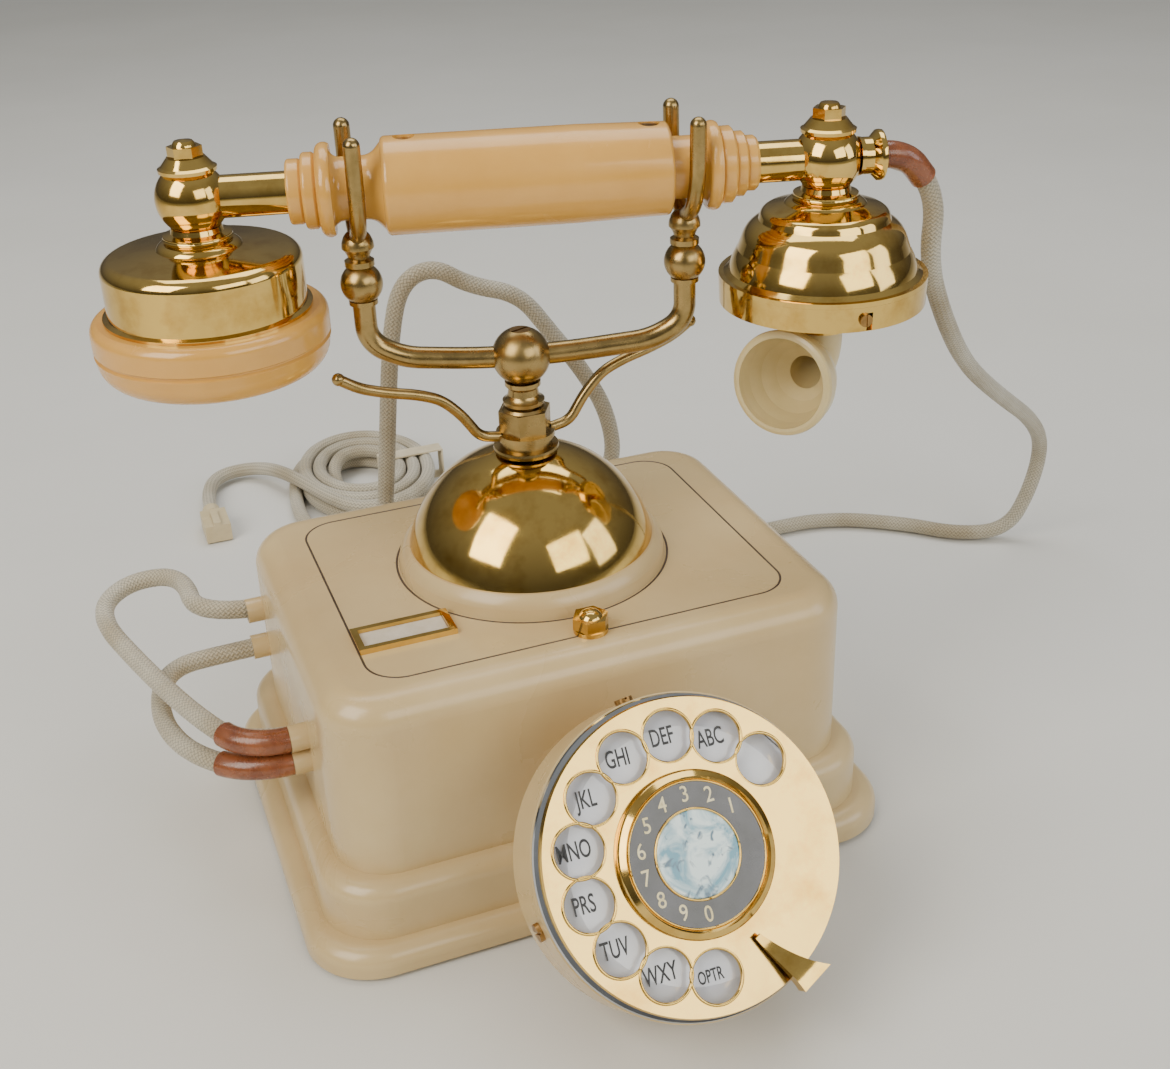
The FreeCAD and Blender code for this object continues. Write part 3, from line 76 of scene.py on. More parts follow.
def aim_camera():
    """The camera, turned by its azimuth, its look down and its roll."""
    back = Vector((math.sin(LOOK_AZIMUTH) * math.cos(LOOK_DOWN),
                   -math.cos(LOOK_AZIMUTH) * math.cos(LOOK_DOWN), math.sin(LOOK_DOWN)))
    level = Vector((math.cos(LOOK_AZIMUTH), math.sin(LOOK_AZIMUTH), 0))
    upright = back.cross(level)
    right = math.cos(LOOK_ROLL) * level + math.sin(LOOK_ROLL) * upright
    up = math.cos(LOOK_ROLL) * upright - math.sin(LOOK_ROLL) * level
    lens = bpy.data.cameras.new("camera")
    lens.lens = LENS_MM
    lens.shift_x, lens.shift_y = LENS_SHIFT
    lens.clip_start = NEAREST
    eye = bpy.data.objects.new("camera", lens)
    turned = Matrix((right, up, back)).transposed().to_4x4()
    eye.matrix_world = Matrix.Translation(EYE) @ turned
    SCENE.collection.objects.link(eye)
    SCENE.camera = eye


def soft_light(name, place, target, size, power, tint):
    lamp = bpy.data.lights.new(name, "AREA")
    lamp.shape = "RECTANGLE"
    lamp.size, lamp.size_y = size
    lamp.energy = power
    lamp.color = colour(tint)[:3]
    holder = bpy.data.objects.new(name, lamp)
    holder.location = place
    holder.rotation_euler = (Vector(target) - Vector(place)).to_track_quat("-Z", "Y").to_euler()
    SCENE.collection.objects.link(holder)


def light_the_room():
    world = bpy.data.worlds.new("room")
    world.use_nodes = True
    SCENE.world = world
    tree = world.node_tree
    backdrop = tree.nodes["Background"]
    where = node(tree, "ShaderNodeTexCoord")
    height = node(tree, "ShaderNodeSeparateXYZ", links={"Vector": (where, "Generated")})
    share = node(tree, "ShaderNodeMapRange", {"From Min": -0.15, "From Max": 0.8},
                 {"Value": (height, "Z")})
    tone = node(tree, "ShaderNodeMix", {"data_type": "RGBA", 6: colour("#4A443C"), 7: colour("#E4E4E0")},
                {0: (share, "Result")})
    tree.links.new(tone.outputs[2], backdrop.inputs["Color"])
    backdrop.inputs["Strength"].default_value = WORLD_STRENGTH
    soft_light("window", (-1.1, -0.5, 1.1), (0, 0, 0.08), (0.9, 1.1), 21, "#FFF8EC")
    soft_light("sky_panel", (0.2, 0.5, 1.5), (0, 0, 0.05), (1.4, 0.9), 12, "#FFFFFF")
    soft_light("dial_panel", (0.45, -1.25, 0.8), (0, -0.12, 0.06), (0.9, 0.7), 7, "#FFFDF4")
    soft_light("fill", (1.3, -0.9, 0.7), (0, 0, 0.1), (0.7, 0.9), 6, "#F4F6FF")


def lay_floor():
    mesh = bpy.data.meshes.new("floor")
    mesh.from_pydata([(-FLOOR_REACH, -FLOOR_REACH, 0), (FLOOR_REACH, -FLOOR_REACH, 0),
                       (FLOOR_REACH, FLOOR_REACH, 0), (-FLOOR_REACH, FLOOR_REACH, 0)], [], [(0, 1, 2, 3)])
    floor = bpy.data.objects.new("floor", mesh)
    SCENE.collection.objects.link(floor)
    mesh.materials.append(FINISH["floor_paint"])


# ---------------------------------------------------------------- materials

def colour(code):
    """Linear colour of an sRGB hex value."""
    parts = [int(code[place:place + 2], 16) / 255 for place in (1, 3, 5)]
    return [part / 12.92 if part <= 0.04045 else ((part + 0.055) / 1.055) ** 2.4 for part in parts] + [1.0]


def node(tree, kind, settings=None, links=None):
    """Adds a node. Settings go to its inputs where one has that name or number, else to the node."""
    made = tree.nodes.new(kind)
    for key, value in (settings or {}).items():
        if isinstance(key, str) and hasattr(made, key):
            setattr(made, key, value)
    for key, value in (settings or {}).items():
        if not (isinstance(key, str) and hasattr(made, key)):
            made.inputs[key].default_value = value
    for key, (source, outlet) in (links or {}).items():
        tree.links.new(source.outputs[outlet], made.inputs[key])
    return made


def start_finish(name, **shader_settings):
    """A material with its principled shader's constants set, and its object coordinates."""
    made = bpy.data.materials.new(name)
    made.use_nodes = True
    tree = made.node_tree
    shader = tree.nodes["Principled BSDF"]
    for key, value in shader_settings.items():
        shader.inputs[key.replace("_", " ")].default_value = value
    where = node(tree, "ShaderNodeTexCoord")
    return made, tree, shader, where


def blotched(tree, shader, where, codes, size, low=0.35, high=0.65):
    """Base colour drifting between two hex colours in patches of that size in metres."""
    patch = node(tree, "ShaderNodeTexNoise", {"Scale": 1 / size, "Detail": 5.0, "Roughness": 0.6},
                 {"Vector": (where, "Object")})
    share = node(tree, "ShaderNodeMapRange", {"From Min": low, "From Max": high},
                 {"Value": (patch, "Fac")})
    tone = node(tree, "ShaderNodeMix", {"data_type": "RGBA", 6: colour(codes[0]), 7: colour(codes[1])},
                {0: (share, "Result")})
    tree.links.new(tone.outputs[2], shader.inputs["Base Color"])
    return share


def worn(tree, shader, where, size, rough_low, rough_high):
    """Roughness between two values, in smears of that size in metres."""
    smear = node(tree, "ShaderNodeTexNoise", {"Scale": 1 / size, "Detail": 6.0, "Distortion": 0.6},
                 {"Vector": (where, "Object")})
    level = node(tree, "ShaderNodeMapRange",
                 {"From Min": 0.3, "From Max": 0.7, "To Min": rough_low, "To Max": rough_high},
                 {"Value": (smear, "Fac")})
    tree.links.new(level.outputs["Result"], shader.inputs["Roughness"])


def grained(tree, shader, where, size, depth, detail=3.0):
    """Bump of that grain size and depth in metres."""
    grain = node(tree, "ShaderNodeTexNoise", {"Scale": 1 / size, "Detail": detail},
                 {"Vector": (where, "Object")})
    bump = node(tree, "ShaderNodeBump", {"Strength": 1.0, "Distance": depth}, {"Height": (grain, "Fac")})
    tree.links.new(bump.outputs["Normal"], shader.inputs["Normal"])


def baked_enamel():
    """Cream stoving enamel, sprayed on pressed steel: a soft gloss with a faint orange peel."""
    made, tree, shader, where = start_finish("baked_enamel_cream", IOR=1.5, Coat_Weight=0.25,
                                             Coat_Roughness=0.12)
    blotched(tree, shader, where, ("#C9AE7C", "#D2BA8A"), 60 * MM)
    worn(tree, shader, where, 35 * MM, 0.24, 0.36)
    grained(tree, shader, where, 1.6 * MM, 0.015 * MM)
    return made


def cast_ivory_resin(name, codes, rough):
    """Turned and polished urea resin: deep gloss, yellowed in soft clouds, light let in a little."""
    made, tree, shader, where = start_finish(
        name, IOR=1.54, Subsurface_Weight=0.05, Subsurface_Scale=0.004, Coat_Weight=0.3,
        Coat_Roughness=0.08)
    shader.inputs["Subsurface Radius"].default_value = (1.0, 0.6, 0.3)
    blotched(tree, shader, where, codes, 22 * MM, 0.3, 0.7)
    worn(tree, shader, where, 12 * MM, rough, rough + 0.12)
    grained(tree, shader, where, 5 * MM, 0.03 * MM, 2.0)
    return made


def lacquered_brass(name, codes, rough, patch, fine):
    """Polished brass under lacquer: mirror-like, with hairlines and the first brown spots."""
    made, tree, shader, where = start_finish(name, Metallic=1.0)
    blotched(tree, shader, where, codes, patch, 0.45, 0.8)
    worn(tree, shader, where, 9 * MM, rough[0], rough[1])
    grained(tree, shader, where, 1.1 * MM, fine, 6.0)
    return made


def hairline_brass():
    """Dial plate brass, spun: fine rings about the dial's own axis, under lacquer."""
    made, tree, shader, where = start_finish("spun_brass", Metallic=1.0)
    blotched(tree, shader, where, ("#E6C170", "#C99A48"), 14 * MM, 0.5, 0.85)
    worn(tree, shader, where, 9 * MM, 0.1, 0.2)
    turn = node(tree, "ShaderNodeMapping", {"vector_type": "TEXTURE", "Location": DIAL.translation,
                                            "Rotation": DIAL.to_euler()}, {"Vector": (where, "Object")})
    # 0.5 mm between lines, drawn coarser than the real 0.1 mm so that they show
    rings = node(tree, "ShaderNodeTexWave",
                 {"wave_type": "RINGS", "rings_direction": "Z", "Scale": 0.314 / (0.5 * MM),
                  "Distortion": 0.4,
                  "Detail": 2.0}, {"Vector": (turn, "Vector")})
    bump = node(tree, "ShaderNodeBump", {"Strength": 0.35, "Distance": 0.006 * MM},
                {"Height": (rings, "Fac")})
    tree.links.new(bump.outputs["Normal"], shader.inputs["Normal"])
    return made


def chrome_plate():
    """Bright chromium on steel: colourless mirror with faint wiping marks."""
    made, tree, shader, where = start_finish("chrome_plate", Metallic=1.0)
    blotched(tree, shader, where, ("#CFD2D6", "#B9BCC2"), 18 * MM)
    worn(tree, shader, where, 6 * MM, 0.05, 0.14)
    grained(tree, shader, where, 2 * MM, 0.003 * MM)
    return made


def vitreous_white():
    """White stoved enamel of the letter plate: cool white, glassy, slightly wavy."""
    made, tree, shader, where = start_finish("letter_plate_enamel", IOR=1.5, Coat_Weight=0.6,
                                             Coat_Roughness=0.05)
    blotched(tree, shader, where, ("#D6DAE2", "#C8CCD8"), 20 * MM)
    worn(tree, shader, where, 10 * MM, 0.14, 0.24)
    grained(tree, shader, where, 3 * MM, 0.01 * MM)
    return made


def pearl_black():
    """Black celluloid with a grey pearl in it, as old number plates have."""
    made, tree, shader, where = start_finish("pearl_black_celluloid", IOR=1.5, Coat_Weight=0.8,
                                             Coat_Roughness=0.06)
    blotched(tree, shader, where, ("#121218", "#34343F"), 9 * MM, 0.4, 0.75)
    worn(tree, shader, where, 5 * MM, 0.16, 0.3)
    grained(tree, shader, where, 2 * MM, 0.006 * MM)
    return made


def marbled_porcelain():
    """Glazed disc with a blue and white cloud marbling, glassy on top."""
    made, tree, shader, where = start_finish("marbled_porcelain", IOR=1.5, Roughness=0.12,
                                             Coat_Weight=0.8,
                                             Coat_Roughness=0.04)
    swirl = node(tree, "ShaderNodeTexNoise", {"Scale": 1 / (14 * MM), "Detail": 5.0, "Roughness": 0.55,
                                              "Distortion": 1.2}, {"Vector": (where, "Object")})
    pale = node(tree, "ShaderNodeMapRange", {"From Min": 0.42, "From Max": 0.55},
                {"Value": (swirl, "Fac")})
    first = node(tree, "ShaderNodeMix", {"data_type": "RGBA", 6: colour("#3F8DA6"), 7: colour("#D9ECEA")},
                 {0: (pale, "Result")})
    vein = node(tree, "ShaderNodeTexNoise", {"Scale": 1 / (5 * MM), "Detail": 6.0, "Distortion": 1.6},
                {"Vector": (where, "Object")})
    deep = node(tree, "ShaderNodeMapRange", {"From Min": 0.56, "From Max": 0.66},
                {"Value": (vein, "Fac")})
    both = node(tree, "ShaderNodeMix", {"data_type": "RGBA", 7: colour("#1F5570")},
                {0: (deep, "Result"), 6: (first, 2)})
    tree.links.new(both.outputs[2], shader.inputs["Base Color"])
    grained(tree, shader, where, 3 * MM, 0.01 * MM)
    return made


def amber_tubing():
    """Aged clear vinyl tube, gone amber: the cord shows through it."""
    made, tree, shader, where = start_finish("amber_vinyl", IOR=1.5, Transmission_Weight=0.55,
                                             Coat_Weight=0.2)
    blotched(tree, shader, where, ("#C47A4C", "#9A5634"), 8 * MM, 0.35, 0.65)
    worn(tree, shader, where, 5 * MM, 0.18, 0.34)
    grained(tree, shader, where, 2.5 * MM, 0.05 * MM)
    return made


def braided_cotton():
    """Glazed cotton braid over a soft core: two families of strands that pass over and under.
    The piece's map counts turns round the cord across, and lengths of one girth along."""
    made, tree, shader, where = start_finish("braided_cotton", IOR=1.5, Roughness=0.72, Sheen_Weight=0.3,
                                             Sheen_Roughness=0.5)
    strands = 12
    turned = node(tree, "ShaderNodeMapping",
                  {"Scale": (strands * math.sqrt(2),) * 3, "Rotation": (0, 0, math.radians(45))},
                  {"Vector": (where, "UV")})
    over = node(tree, "ShaderNodeTexChecker", {"Scale": 1.0}, {"Vector": (turned, "Vector")})
    left = node(tree, "ShaderNodeTexWave",
                {"wave_type": "BANDS", "bands_direction": "X", "Scale": 0.3142},
                {"Vector": (turned, "Vector")})
    right = node(tree, "ShaderNodeTexWave",
                 {"wave_type": "BANDS", "bands_direction": "Y", "Scale": 0.3142},
                 {"Vector": (turned, "Vector")})
    height = node(tree, "ShaderNodeMix", {"data_type": "FLOAT"},
                  {0: (over, "Fac"), 2: (left, "Fac"), 3: (right, "Fac")})
    fibre = node(tree, "ShaderNodeTexNoise", {"Scale": 1 / (0.35 * MM), "Detail": 3.0},
                 {"Vector": (where, "Object")})
    soil = node(tree, "ShaderNodeTexNoise", {"Scale": 1 / (26 * MM), "Detail": 5.0},
                {"Vector": (where, "Object")})
    share = node(tree, "ShaderNodeMapRange", {"From Min": 0.35, "From Max": 0.7},
                 {"Value": (soil, "Fac")})
    clean = node(tree, "ShaderNodeMix", {"data_type": "RGBA", 6: colour("#CDC6B2"), 7: colour("#AFA183")},
                 {0: (share, "Result")})
    # painted shade: the braid's colour is multiplied down to half where the strands sink into the gaps between
    # them
    painted_gap_shade = node(tree, "ShaderNodeMapRange",
               {"From Min": 0.0, "From Max": 0.55, "To Min": 0.5, "To Max": 1.0},
               {"Value": (height, 0)})
    shaded = node(tree, "ShaderNodeMix", {"data_type": "RGBA", "blend_type": "MULTIPLY", 0: 1.0},
                  {6: (clean, 2), 7: (painted_gap_shade, "Result")})
    tree.links.new(shaded.outputs[2], shader.inputs["Base Color"])
    fuzz = node(tree, "ShaderNodeBump", {"Strength": 0.3, "Distance": 0.08 * MM},
                {"Height": (fibre, "Fac")})
    bump = node(tree, "ShaderNodeBump", {"Strength": 0.8, "Distance": 0.25 * MM},
                {"Height": (height, 0), "Normal": (fuzz, "Normal")})
    tree.links.new(bump.outputs["Normal"], shader.inputs["Normal"])
    return made


def plain_finish(name, codes, patch, rough, grain, depth, **settings):
    """Hidden or small parts: two tones, a roughness that wanders and the surface's own grain."""
    made, tree, shader, where = start_finish(name, **settings)
    blotched(tree, shader, where, codes, patch)
    worn(tree, shader, where, patch, rough[0], rough[1])
    grained(tree, shader, where, grain, depth)
    return made


def woven_tape():
    """Bleached cotton tape: a plain weave with half a millimetre between threads."""
    made, tree, shader, where = start_finish("cotton_tape", IOR=1.5, Roughness=0.85, Sheen_Weight=0.3)
    blotched(tree, shader, where, ("#DED2B4", "#C9BA96"), 12 * MM)
    across = node(tree, "ShaderNodeTexWave", {"bands_direction": "Y", "Scale": 0.314 / (0.5 * MM)},
                  {"Vector": (where, "Object")})
    along = node(tree, "ShaderNodeTexWave", {"bands_direction": "X", "Scale": 0.314 / (0.5 * MM)},
                 {"Vector": (where, "Object")})
    weave = node(tree, "ShaderNodeMath", {"operation": "MULTIPLY"},
                 {0: (across, "Fac"), 1: (along, "Fac")})
    bump = node(tree, "ShaderNodeBump", {"Strength": 0.7, "Distance": 0.15 * MM},
                {"Height": (weave, "Value")})
    tree.links.new(bump.outputs["Normal"], shader.inputs["Normal"])
    return made


def dial_frame_matrix():
    """The dial's own frame: origin on its axis, Z out of its face, X level."""
    axle = JOINTS["dial_turn"]
    out = -Vector(axle["axis"]).normalized()
    level = Vector((1, 0, 0))
    up = out.cross(level)
    return Matrix.Translation(axle["pos_m"]) @ Matrix((level, up, out)).transposed().to_4x4()


DIAL = dial_frame_matrix()
BRASS = ("#E0BC6A", "#BE9444")
OLD_BRASS = ("#A98F5C", "#86703F")
FINISH = {
    "ivory_enamel": baked_enamel(),
    "ivory_plastic": cast_ivory_resin("cast_ivory_resin", ("#DDA854", "#D49E48"), 0.16),
    "horn_plastic": cast_ivory_resin("pale_horn_resin", ("#D2C08F", "#C4B07C"), 0.3),
    "polished_brass": lacquered_brass("lacquered_brass", BRASS, (0.06, 0.13), 9 * MM, 0.004 * MM),
    "aged_brass": lacquered_brass("handled_brass", OLD_BRASS, (0.2, 0.34), 7 * MM, 0.02 * MM),
    "screw_brass": lacquered_brass("screw_brass", ("#A98450", "#6E4E28"), (0.28, 0.42), 3 * MM,
                                   0.02 * MM),
    "spun_brass": hairline_brass(),
    "chrome_plate": chrome_plate(),
    "letter_enamel": vitreous_white(),
    "number_plate": pearl_black(),
    "marbled_disc": marbled_porcelain(),
    "amber_sleeve": amber_tubing(),
    "cord_braid": braided_cotton(),
    "card_stock": plain_finish("card_stock", ("#D8D0C0", "#C4B8A2"), 9 * MM, (0.7, 0.85), 0.4 * MM,
                               0.02 * MM),
    "felt_green": plain_finish("pressed_felt", ("#2E2A24", "#3C362C"), 7 * MM, (0.9, 1.0), 0.5 * MM,
                               0.3 * MM,
                               Sheen_Weight=0.4),
    "zinc_steel": plain_finish("zinc_plated_steel", ("#B9B8B0", "#9C9B92"), 6 * MM, (0.3, 0.45), 1 * MM,
                               0.01 * MM, Metallic=1.0),
    "dark_phenolic": plain_finish("dark_phenolic", ("#2A211B", "#1B1512"), 8 * MM, (0.35, 0.5), 1 * MM,
                                  0.02 * MM),
    "board": plain_finish("paper_laminate_board", ("#7A5A2C", "#6A4C22"), 10 * MM, (0.4, 0.6), 0.8 * MM,
                          0.02 * MM),
    "coil_wire": plain_finish("enamelled_wire", ("#8A4A22", "#6E3818"), 5 * MM, (0.3, 0.4), 0.6 * MM,
                              0.05 * MM),
    "cream_plug": plain_finish("moulded_cream_nylon", ("#D8C9A4", "#CCBB92"), 10 * MM, (0.3, 0.42),
                               1.2 * MM,
                               0.02 * MM, IOR=1.53),
    "cotton_tape": woven_tape(),
    "line_paint": plain_finish("dark_line_paint", ("#43342A", "#54453A"), 6 * MM, (0.35, 0.5), 1 * MM,
                               0.01 * MM),
    "letter_ink": plain_finish("letter_ink", ("#15151A", "#202027"), 4 * MM, (0.3, 0.45), 0.8 * MM,
                               0.005 * MM),
    "numeral_paint": plain_finish("numeral_paint", ("#F2E7BC", "#E2D29A"), 3 * MM, (0.35, 0.5), 0.8 * MM,
                                  0.005 * MM),
    # painted shade: a near-black finish that stands for the shade inside openings
    "hole_dark": plain_finish("painted_shade_opening", ("#17120E", "#241C16"), 3 * MM, (0.6, 0.8), 1 * MM,
                              0.02 * MM),
    "floor_paint": plain_finish("pale_floor_paint", ("#DEDDD8", "#D8D7D1"), 400 * MM, (0.6, 0.7), 2 * MM,
                                0.02 * MM),
}


def dress_frame():
    """Gives every carried-over part the finish of its material slot."""
    special = {"finger_wheel": "spun_brass", "hank_tie": "cotton_tape"}
    for row in frame["record"]["subparts"]:
        part = NODES[row["node"]]
        finish = FINISH[special.get(row["node"], row["material_slot"])]
        if part.material_slots:
            part.material_slots[0].material = finish
        else:
            part.data.materials.append(finish)


# ---------------------------------------------------------------- cords

CORD_RADIUS = 3.2 * MM
SIDE_UPPER = [
    (-0.07, -0.024, 0.0565), (-0.102, -0.024, 0.0565), (-0.114, 0.0, 0.0563), (-0.126, 0.036, 0.0555),
    (-0.138, 0.075, 0.0575), (-0.126, 0.09, 0.06), (-0.106, 0.084, 0.062), (-0.106, 0.047, 0.0625),
    (-0.07, 0.047, 0.0625)]
SIDE_LOWER = [
    (-0.07, -0.024, 0.048), (-0.102, -0.024, 0.048), (-0.119, -0.004, 0.0465), (-0.125, 0.022, 0.0458),
    (-0.119, 0.047, 0.047), (-0.098, 0.047, 0.048), (-0.07, 0.047, 0.048)]
HANDSET_ROUTE = [
    (0.10018, -0.02198, 0.2115), (0.1145, -0.02555, 0.2115), (0.129, -0.022, 0.196),
    (0.133, -0.014, 0.172),
    (0.152, 0.002, 0.144), (0.176, 0.02, 0.116), (0.21, 0.042, 0.089), (0.241, 0.061, 0.066),
    (0.256, 0.071, 0.047), (0.254, 0.0735, 0.024), (0.247, 0.077, 0.0046), (0.226, 0.084, 0.0036),
    (0.209, 0.103, 0.0036), (0.18, 0.122, 0.0036), (0.146, 0.123, 0.0036), (0.112, 0.122, 0.0036),
    (0.084, 0.118, 0.0045), (0.062, 0.11, 0.01), (0.052, 0.092, 0.018), (0.052, 0.06, 0.018)]
LINE_ROUTE = [
    (0.02, 0.06, 0.018), (0.02, 0.092, 0.018), (0.036, 0.109, 0.024), (0.058, 0.111, 0.04),
    (0.07, 0.104, 0.062), (0.066, 0.1, 0.086), (0.056, 0.099, 0.106), (0.042, 0.098, 0.126),
    (0.031, 0.098, 0.142), (0.012, 0.098, 0.148), (-0.001, 0.098, 0.1575), (-0.0135, 0.0985, 0.1525),
    (-0.0185, 0.0995, 0.133), (-0.022, 0.101, 0.103), (-0.024, 0.105, 0.076), (-0.026, 0.112, 0.048),
    (-0.028, 0.123, 0.022), (-0.03, 0.144, 0.005), (-0.031, 0.17, 0.0036), (-0.036, 0.2, 0.0036),
    (-0.043, 0.226, 0.0036)]
HANK_CENTRE = (-0.005, 0.250)
LAPS = 3
LAP_STEPS = 12
LAP_PITCH = 0.0084
WIDEST = 0.042
LOW_LAYER = 0.0036
HIGH_LAYER = 0.0106
TO_PLUG = [(-0.040, 0.262, 0.0102), (-0.052, 0.286, 0.0052), (-0.072, 0.284, 0.005),
           (-0.080, 0.262, 0.005),
           (-0.080, 0.240, 0.005)]


def oval_spot(angle, size, rise):
    turn = math.radians(angle)
    return (HANK_CENTRE[0] + 0.84 * size * math.cos(turn), HANK_CENTRE[1] + 1.1 * size * math.sin(turn),
            rise)


def wound_route():
    """Turns wound inwards on the surface, then outwards on top of them, and over to the plug."""
    points = []
    turn = 360 / LAP_STEPS
    for step in range(LAPS * LAP_STEPS):
        points.append(oval_spot(180 - turn * step, WIDEST - LAP_PITCH * step / LAP_STEPS, LOW_LAYER))
    inmost = WIDEST - LAPS * LAP_PITCH
    for step in range(LAPS * LAP_STEPS - 1):
        rise = min(HIGH_LAYER, LOW_LAYER + 0.0024 * (step + 1))
        points.append(oval_spot(180 - turn * step, inmost + LAP_PITCH * step / LAP_STEPS, rise))
    return points[1:] + TO_PLUG


def smooth_line(points):
    """The line of a spline steered by those points."""
    curve = bpy.data.curves.new("route", "CURVE")
    curve.dimensions = "3D"
    curve.resolution_u = 10
    spline = curve.splines.new("NURBS")
    spline.points.add(len(points) - 1)
    for place, point in zip(spline.points, points):
        place.co = (*point, 1)
    spline.order_u = 3
    spline.use_endpoint_u = True
    holder = bpy.data.objects.new("route", curve)
    SCENE.collection.objects.link(holder)
    made = bpy.data.meshes.new_from_object(holder.evaluated_get(bpy.context.evaluated_depsgraph_get()))
    line = [vertex.co.copy() for vertex in made.vertices]
    bpy.data.objects.remove(holder)
    bpy.data.meshes.remove(made)
    return line


def carried_frames(line):
    """A side direction at each point of the line, carried along it without twist."""
    ahead = [(line[min(place + 1, len(line) - 1)] - line[max(place - 1, 0)]).normalized()
             for place in range(len(line))]
    side = ahead[0].orthogonal().normalized()
    sides = []
    for forward in ahead:
        side = (side - side.dot(forward) * forward).normalized()
        sides.append(side)
    return list(zip(ahead, sides))


def tube_mesh(name, line, radius, count=16):
    """A closed tube round the line, its map in girths along and turns across."""
    shape = bmesh.new()
    mapped = shape.loops.layers.uv.new("girths")
    rings = []
    for spot, (forward, side) in zip(line, carried_frames(line)):
        across = forward.cross(side)
        turns = [2 * math.pi * place / count for place in range(count)]
        rings.append([shape.verts.new(spot + radius * (math.cos(turn) * side + math.sin(turn) * across))
                      for turn in turns])
    gone = 0.0
    girth = 2 * math.pi * radius
    for here in range(len(rings) - 1):
        step = (line[here + 1] - line[here]).length
        for place in range(count):
            nearby = (place + 1) % count
            face = shape.faces.new((rings[here][place], rings[here][nearby],
                                    rings[here + 1][nearby], rings[here + 1][place]))
            face.smooth = True
            spots = ((place, gone), (place + 1, gone), (place + 1, gone + step), (place, gone + step))
            for loop, (column, reach) in zip(face.loops, spots):
                loop[mapped].uv = (column / count, reach / girth)
        gone += step
    shape.faces.new(rings[0][::-1])
    shape.faces.new(rings[-1])
    return finished(name, shape, "cord_braid")


def finished(name, shape, finish):
    mesh = bpy.data.meshes.new(name)
    shape.to_mesh(mesh)
    shape.free()
    mesh.materials.append(FINISH[finish])
    piece = bpy.data.objects.new(name, mesh)
    SCENE.collection.objects.link(piece)
    return piece


UPPER_LENGTH = 0.225
LOWER_LENGTH = 0.15
LINE_LENGTH = 1.62
LEAD_LENGTH = 0.54


def lay_cord(name, stands_for, points, **facts):
    line = smooth_line(points)
    piece = tube_mesh(name, line, CORD_RADIUS)
    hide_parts(stands_for)
    return piece


def lay_cords():
    upper = lay_cord("side_loop_upper", "loop_cord_upper", SIDE_UPPER, length=UPPER_LENGTH, far_end="object",
                     stiffness="medium", lay="loose")
    lower = lay_cord("side_loop_lower", "loop_cord_lower", SIDE_LOWER, length=LOWER_LENGTH, far_end="object",
                     stiffness="medium", lay="loose")
    line = lay_cord("line_lead", "line_cord", LINE_ROUTE + wound_route(), length=LINE_LENGTH, far_end="plug",
                    stiffness="medium", lay="coiled", with_pieces=[NODES["line_plug"], NODES["hank_tie"]])
    for piece in (upper, lower, line):
        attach(piece, "base")
    lead = lay_cord("handset_lead", "handset_cord", HANDSET_ROUTE, length=LEAD_LENGTH, far_end="object",
                    stiffness="medium", lay="hanging")
    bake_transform(lead)


# ---------------------------------------------------------------- lettering

HOLE_START = 37.5
HOLE_STEP = 25.3
HOLE_RING = 31.9 * MM
HOLE_RADIUS = 7.1 * MM
PLATE_TOP = -3.2 * MM
NUMBER_TOP = 2.8 * MM
LIFT_OFF = 0.05 * MM
NUMERAL_RING = 15.8 * MM
LETTER_SHIFT = -0.6 * MM
LETTERS = ("", "ABC", "DEF", "GHI", "JKL", "MNO", "PRS", "TUV", "WXY", "OPTR")


def written(text, size, heavy, narrow, where):
    """Mesh of a short flat text, centred, in the dial's frame."""
    curve = bpy.data.curves.new("text", "FONT")
    curve.body = text
    curve.size = size
    curve.offset = heavy
    curve.extrude = 0.02 * MM
    curve.align_x = "CENTER"
    curve.align_y = "CENTER"
    curve.resolution_u = 4
    holder = bpy.data.objects.new("text", curve)
    SCENE.collection.objects.link(holder)
    mesh = bpy.data.meshes.new_from_object(holder.evaluated_get(bpy.context.evaluated_depsgraph_get()))
    bpy.data.objects.remove(holder)
    mesh.transform(DIAL @ Matrix.Translation(where) @ Matrix.Diagonal((narrow, 1, 1, 1)))
    return mesh


def lettering(name, words, finish, rider):
    shape = bmesh.new()
    for mesh in words:
        shape.from_mesh(mesh)
        bpy.data.meshes.remove(mesh)
    piece = finished(name, shape, finish)
    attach(piece, rider)


def on_ring(index, radius, height, shift=0.0):
    turn = math.radians(HOLE_START + HOLE_STEP * index)
    return Vector((radius * math.cos(turn) + shift, radius * math.sin(turn), height))


def write_dial():
    """Letters on the plate under the finger holes, and numerals on the disc inside them."""
    groups = [written(text, 6.8 * MM if len(text) < 4 else 4.8 * MM, 0.07 * MM, 0.6,
                      on_ring(index, HOLE_RING, PLATE_TOP + LIFT_OFF, LETTER_SHIFT))
              for index, text in enumerate(LETTERS) if text]
    lettering("dial_letters", groups, "letter_ink", "base")
    numerals = [written("1234567890"[index], 6.0 * MM, 0.03 * MM, 0.85,
                        on_ring(index, NUMERAL_RING, NUMBER_TOP + LIFT_OFF))
                for index in range(10)]
    lettering("dial_numerals", numerals, "numeral_paint", "dial_wheel")


# ---------------------------------------------------------------- repeated and ruled details

def new_tree(name, inputs):
    """An empty geometry tree with those named inputs, and its group input and output."""
    tree = bpy.data.node_groups.new(name, "GeometryNodeTree")
    tree.interface.new_socket("Geometry", in_out="OUTPUT", socket_type="NodeSocketGeometry")
    for label, kind, value in inputs:
        socket = tree.interface.new_socket(label, in_out="INPUT", socket_type="NodeSocket" + kind)
        if value is not None:
            socket.default_value = value
    return tree, node(tree, "NodeGroupInput"), node(tree, "NodeGroupOutput")


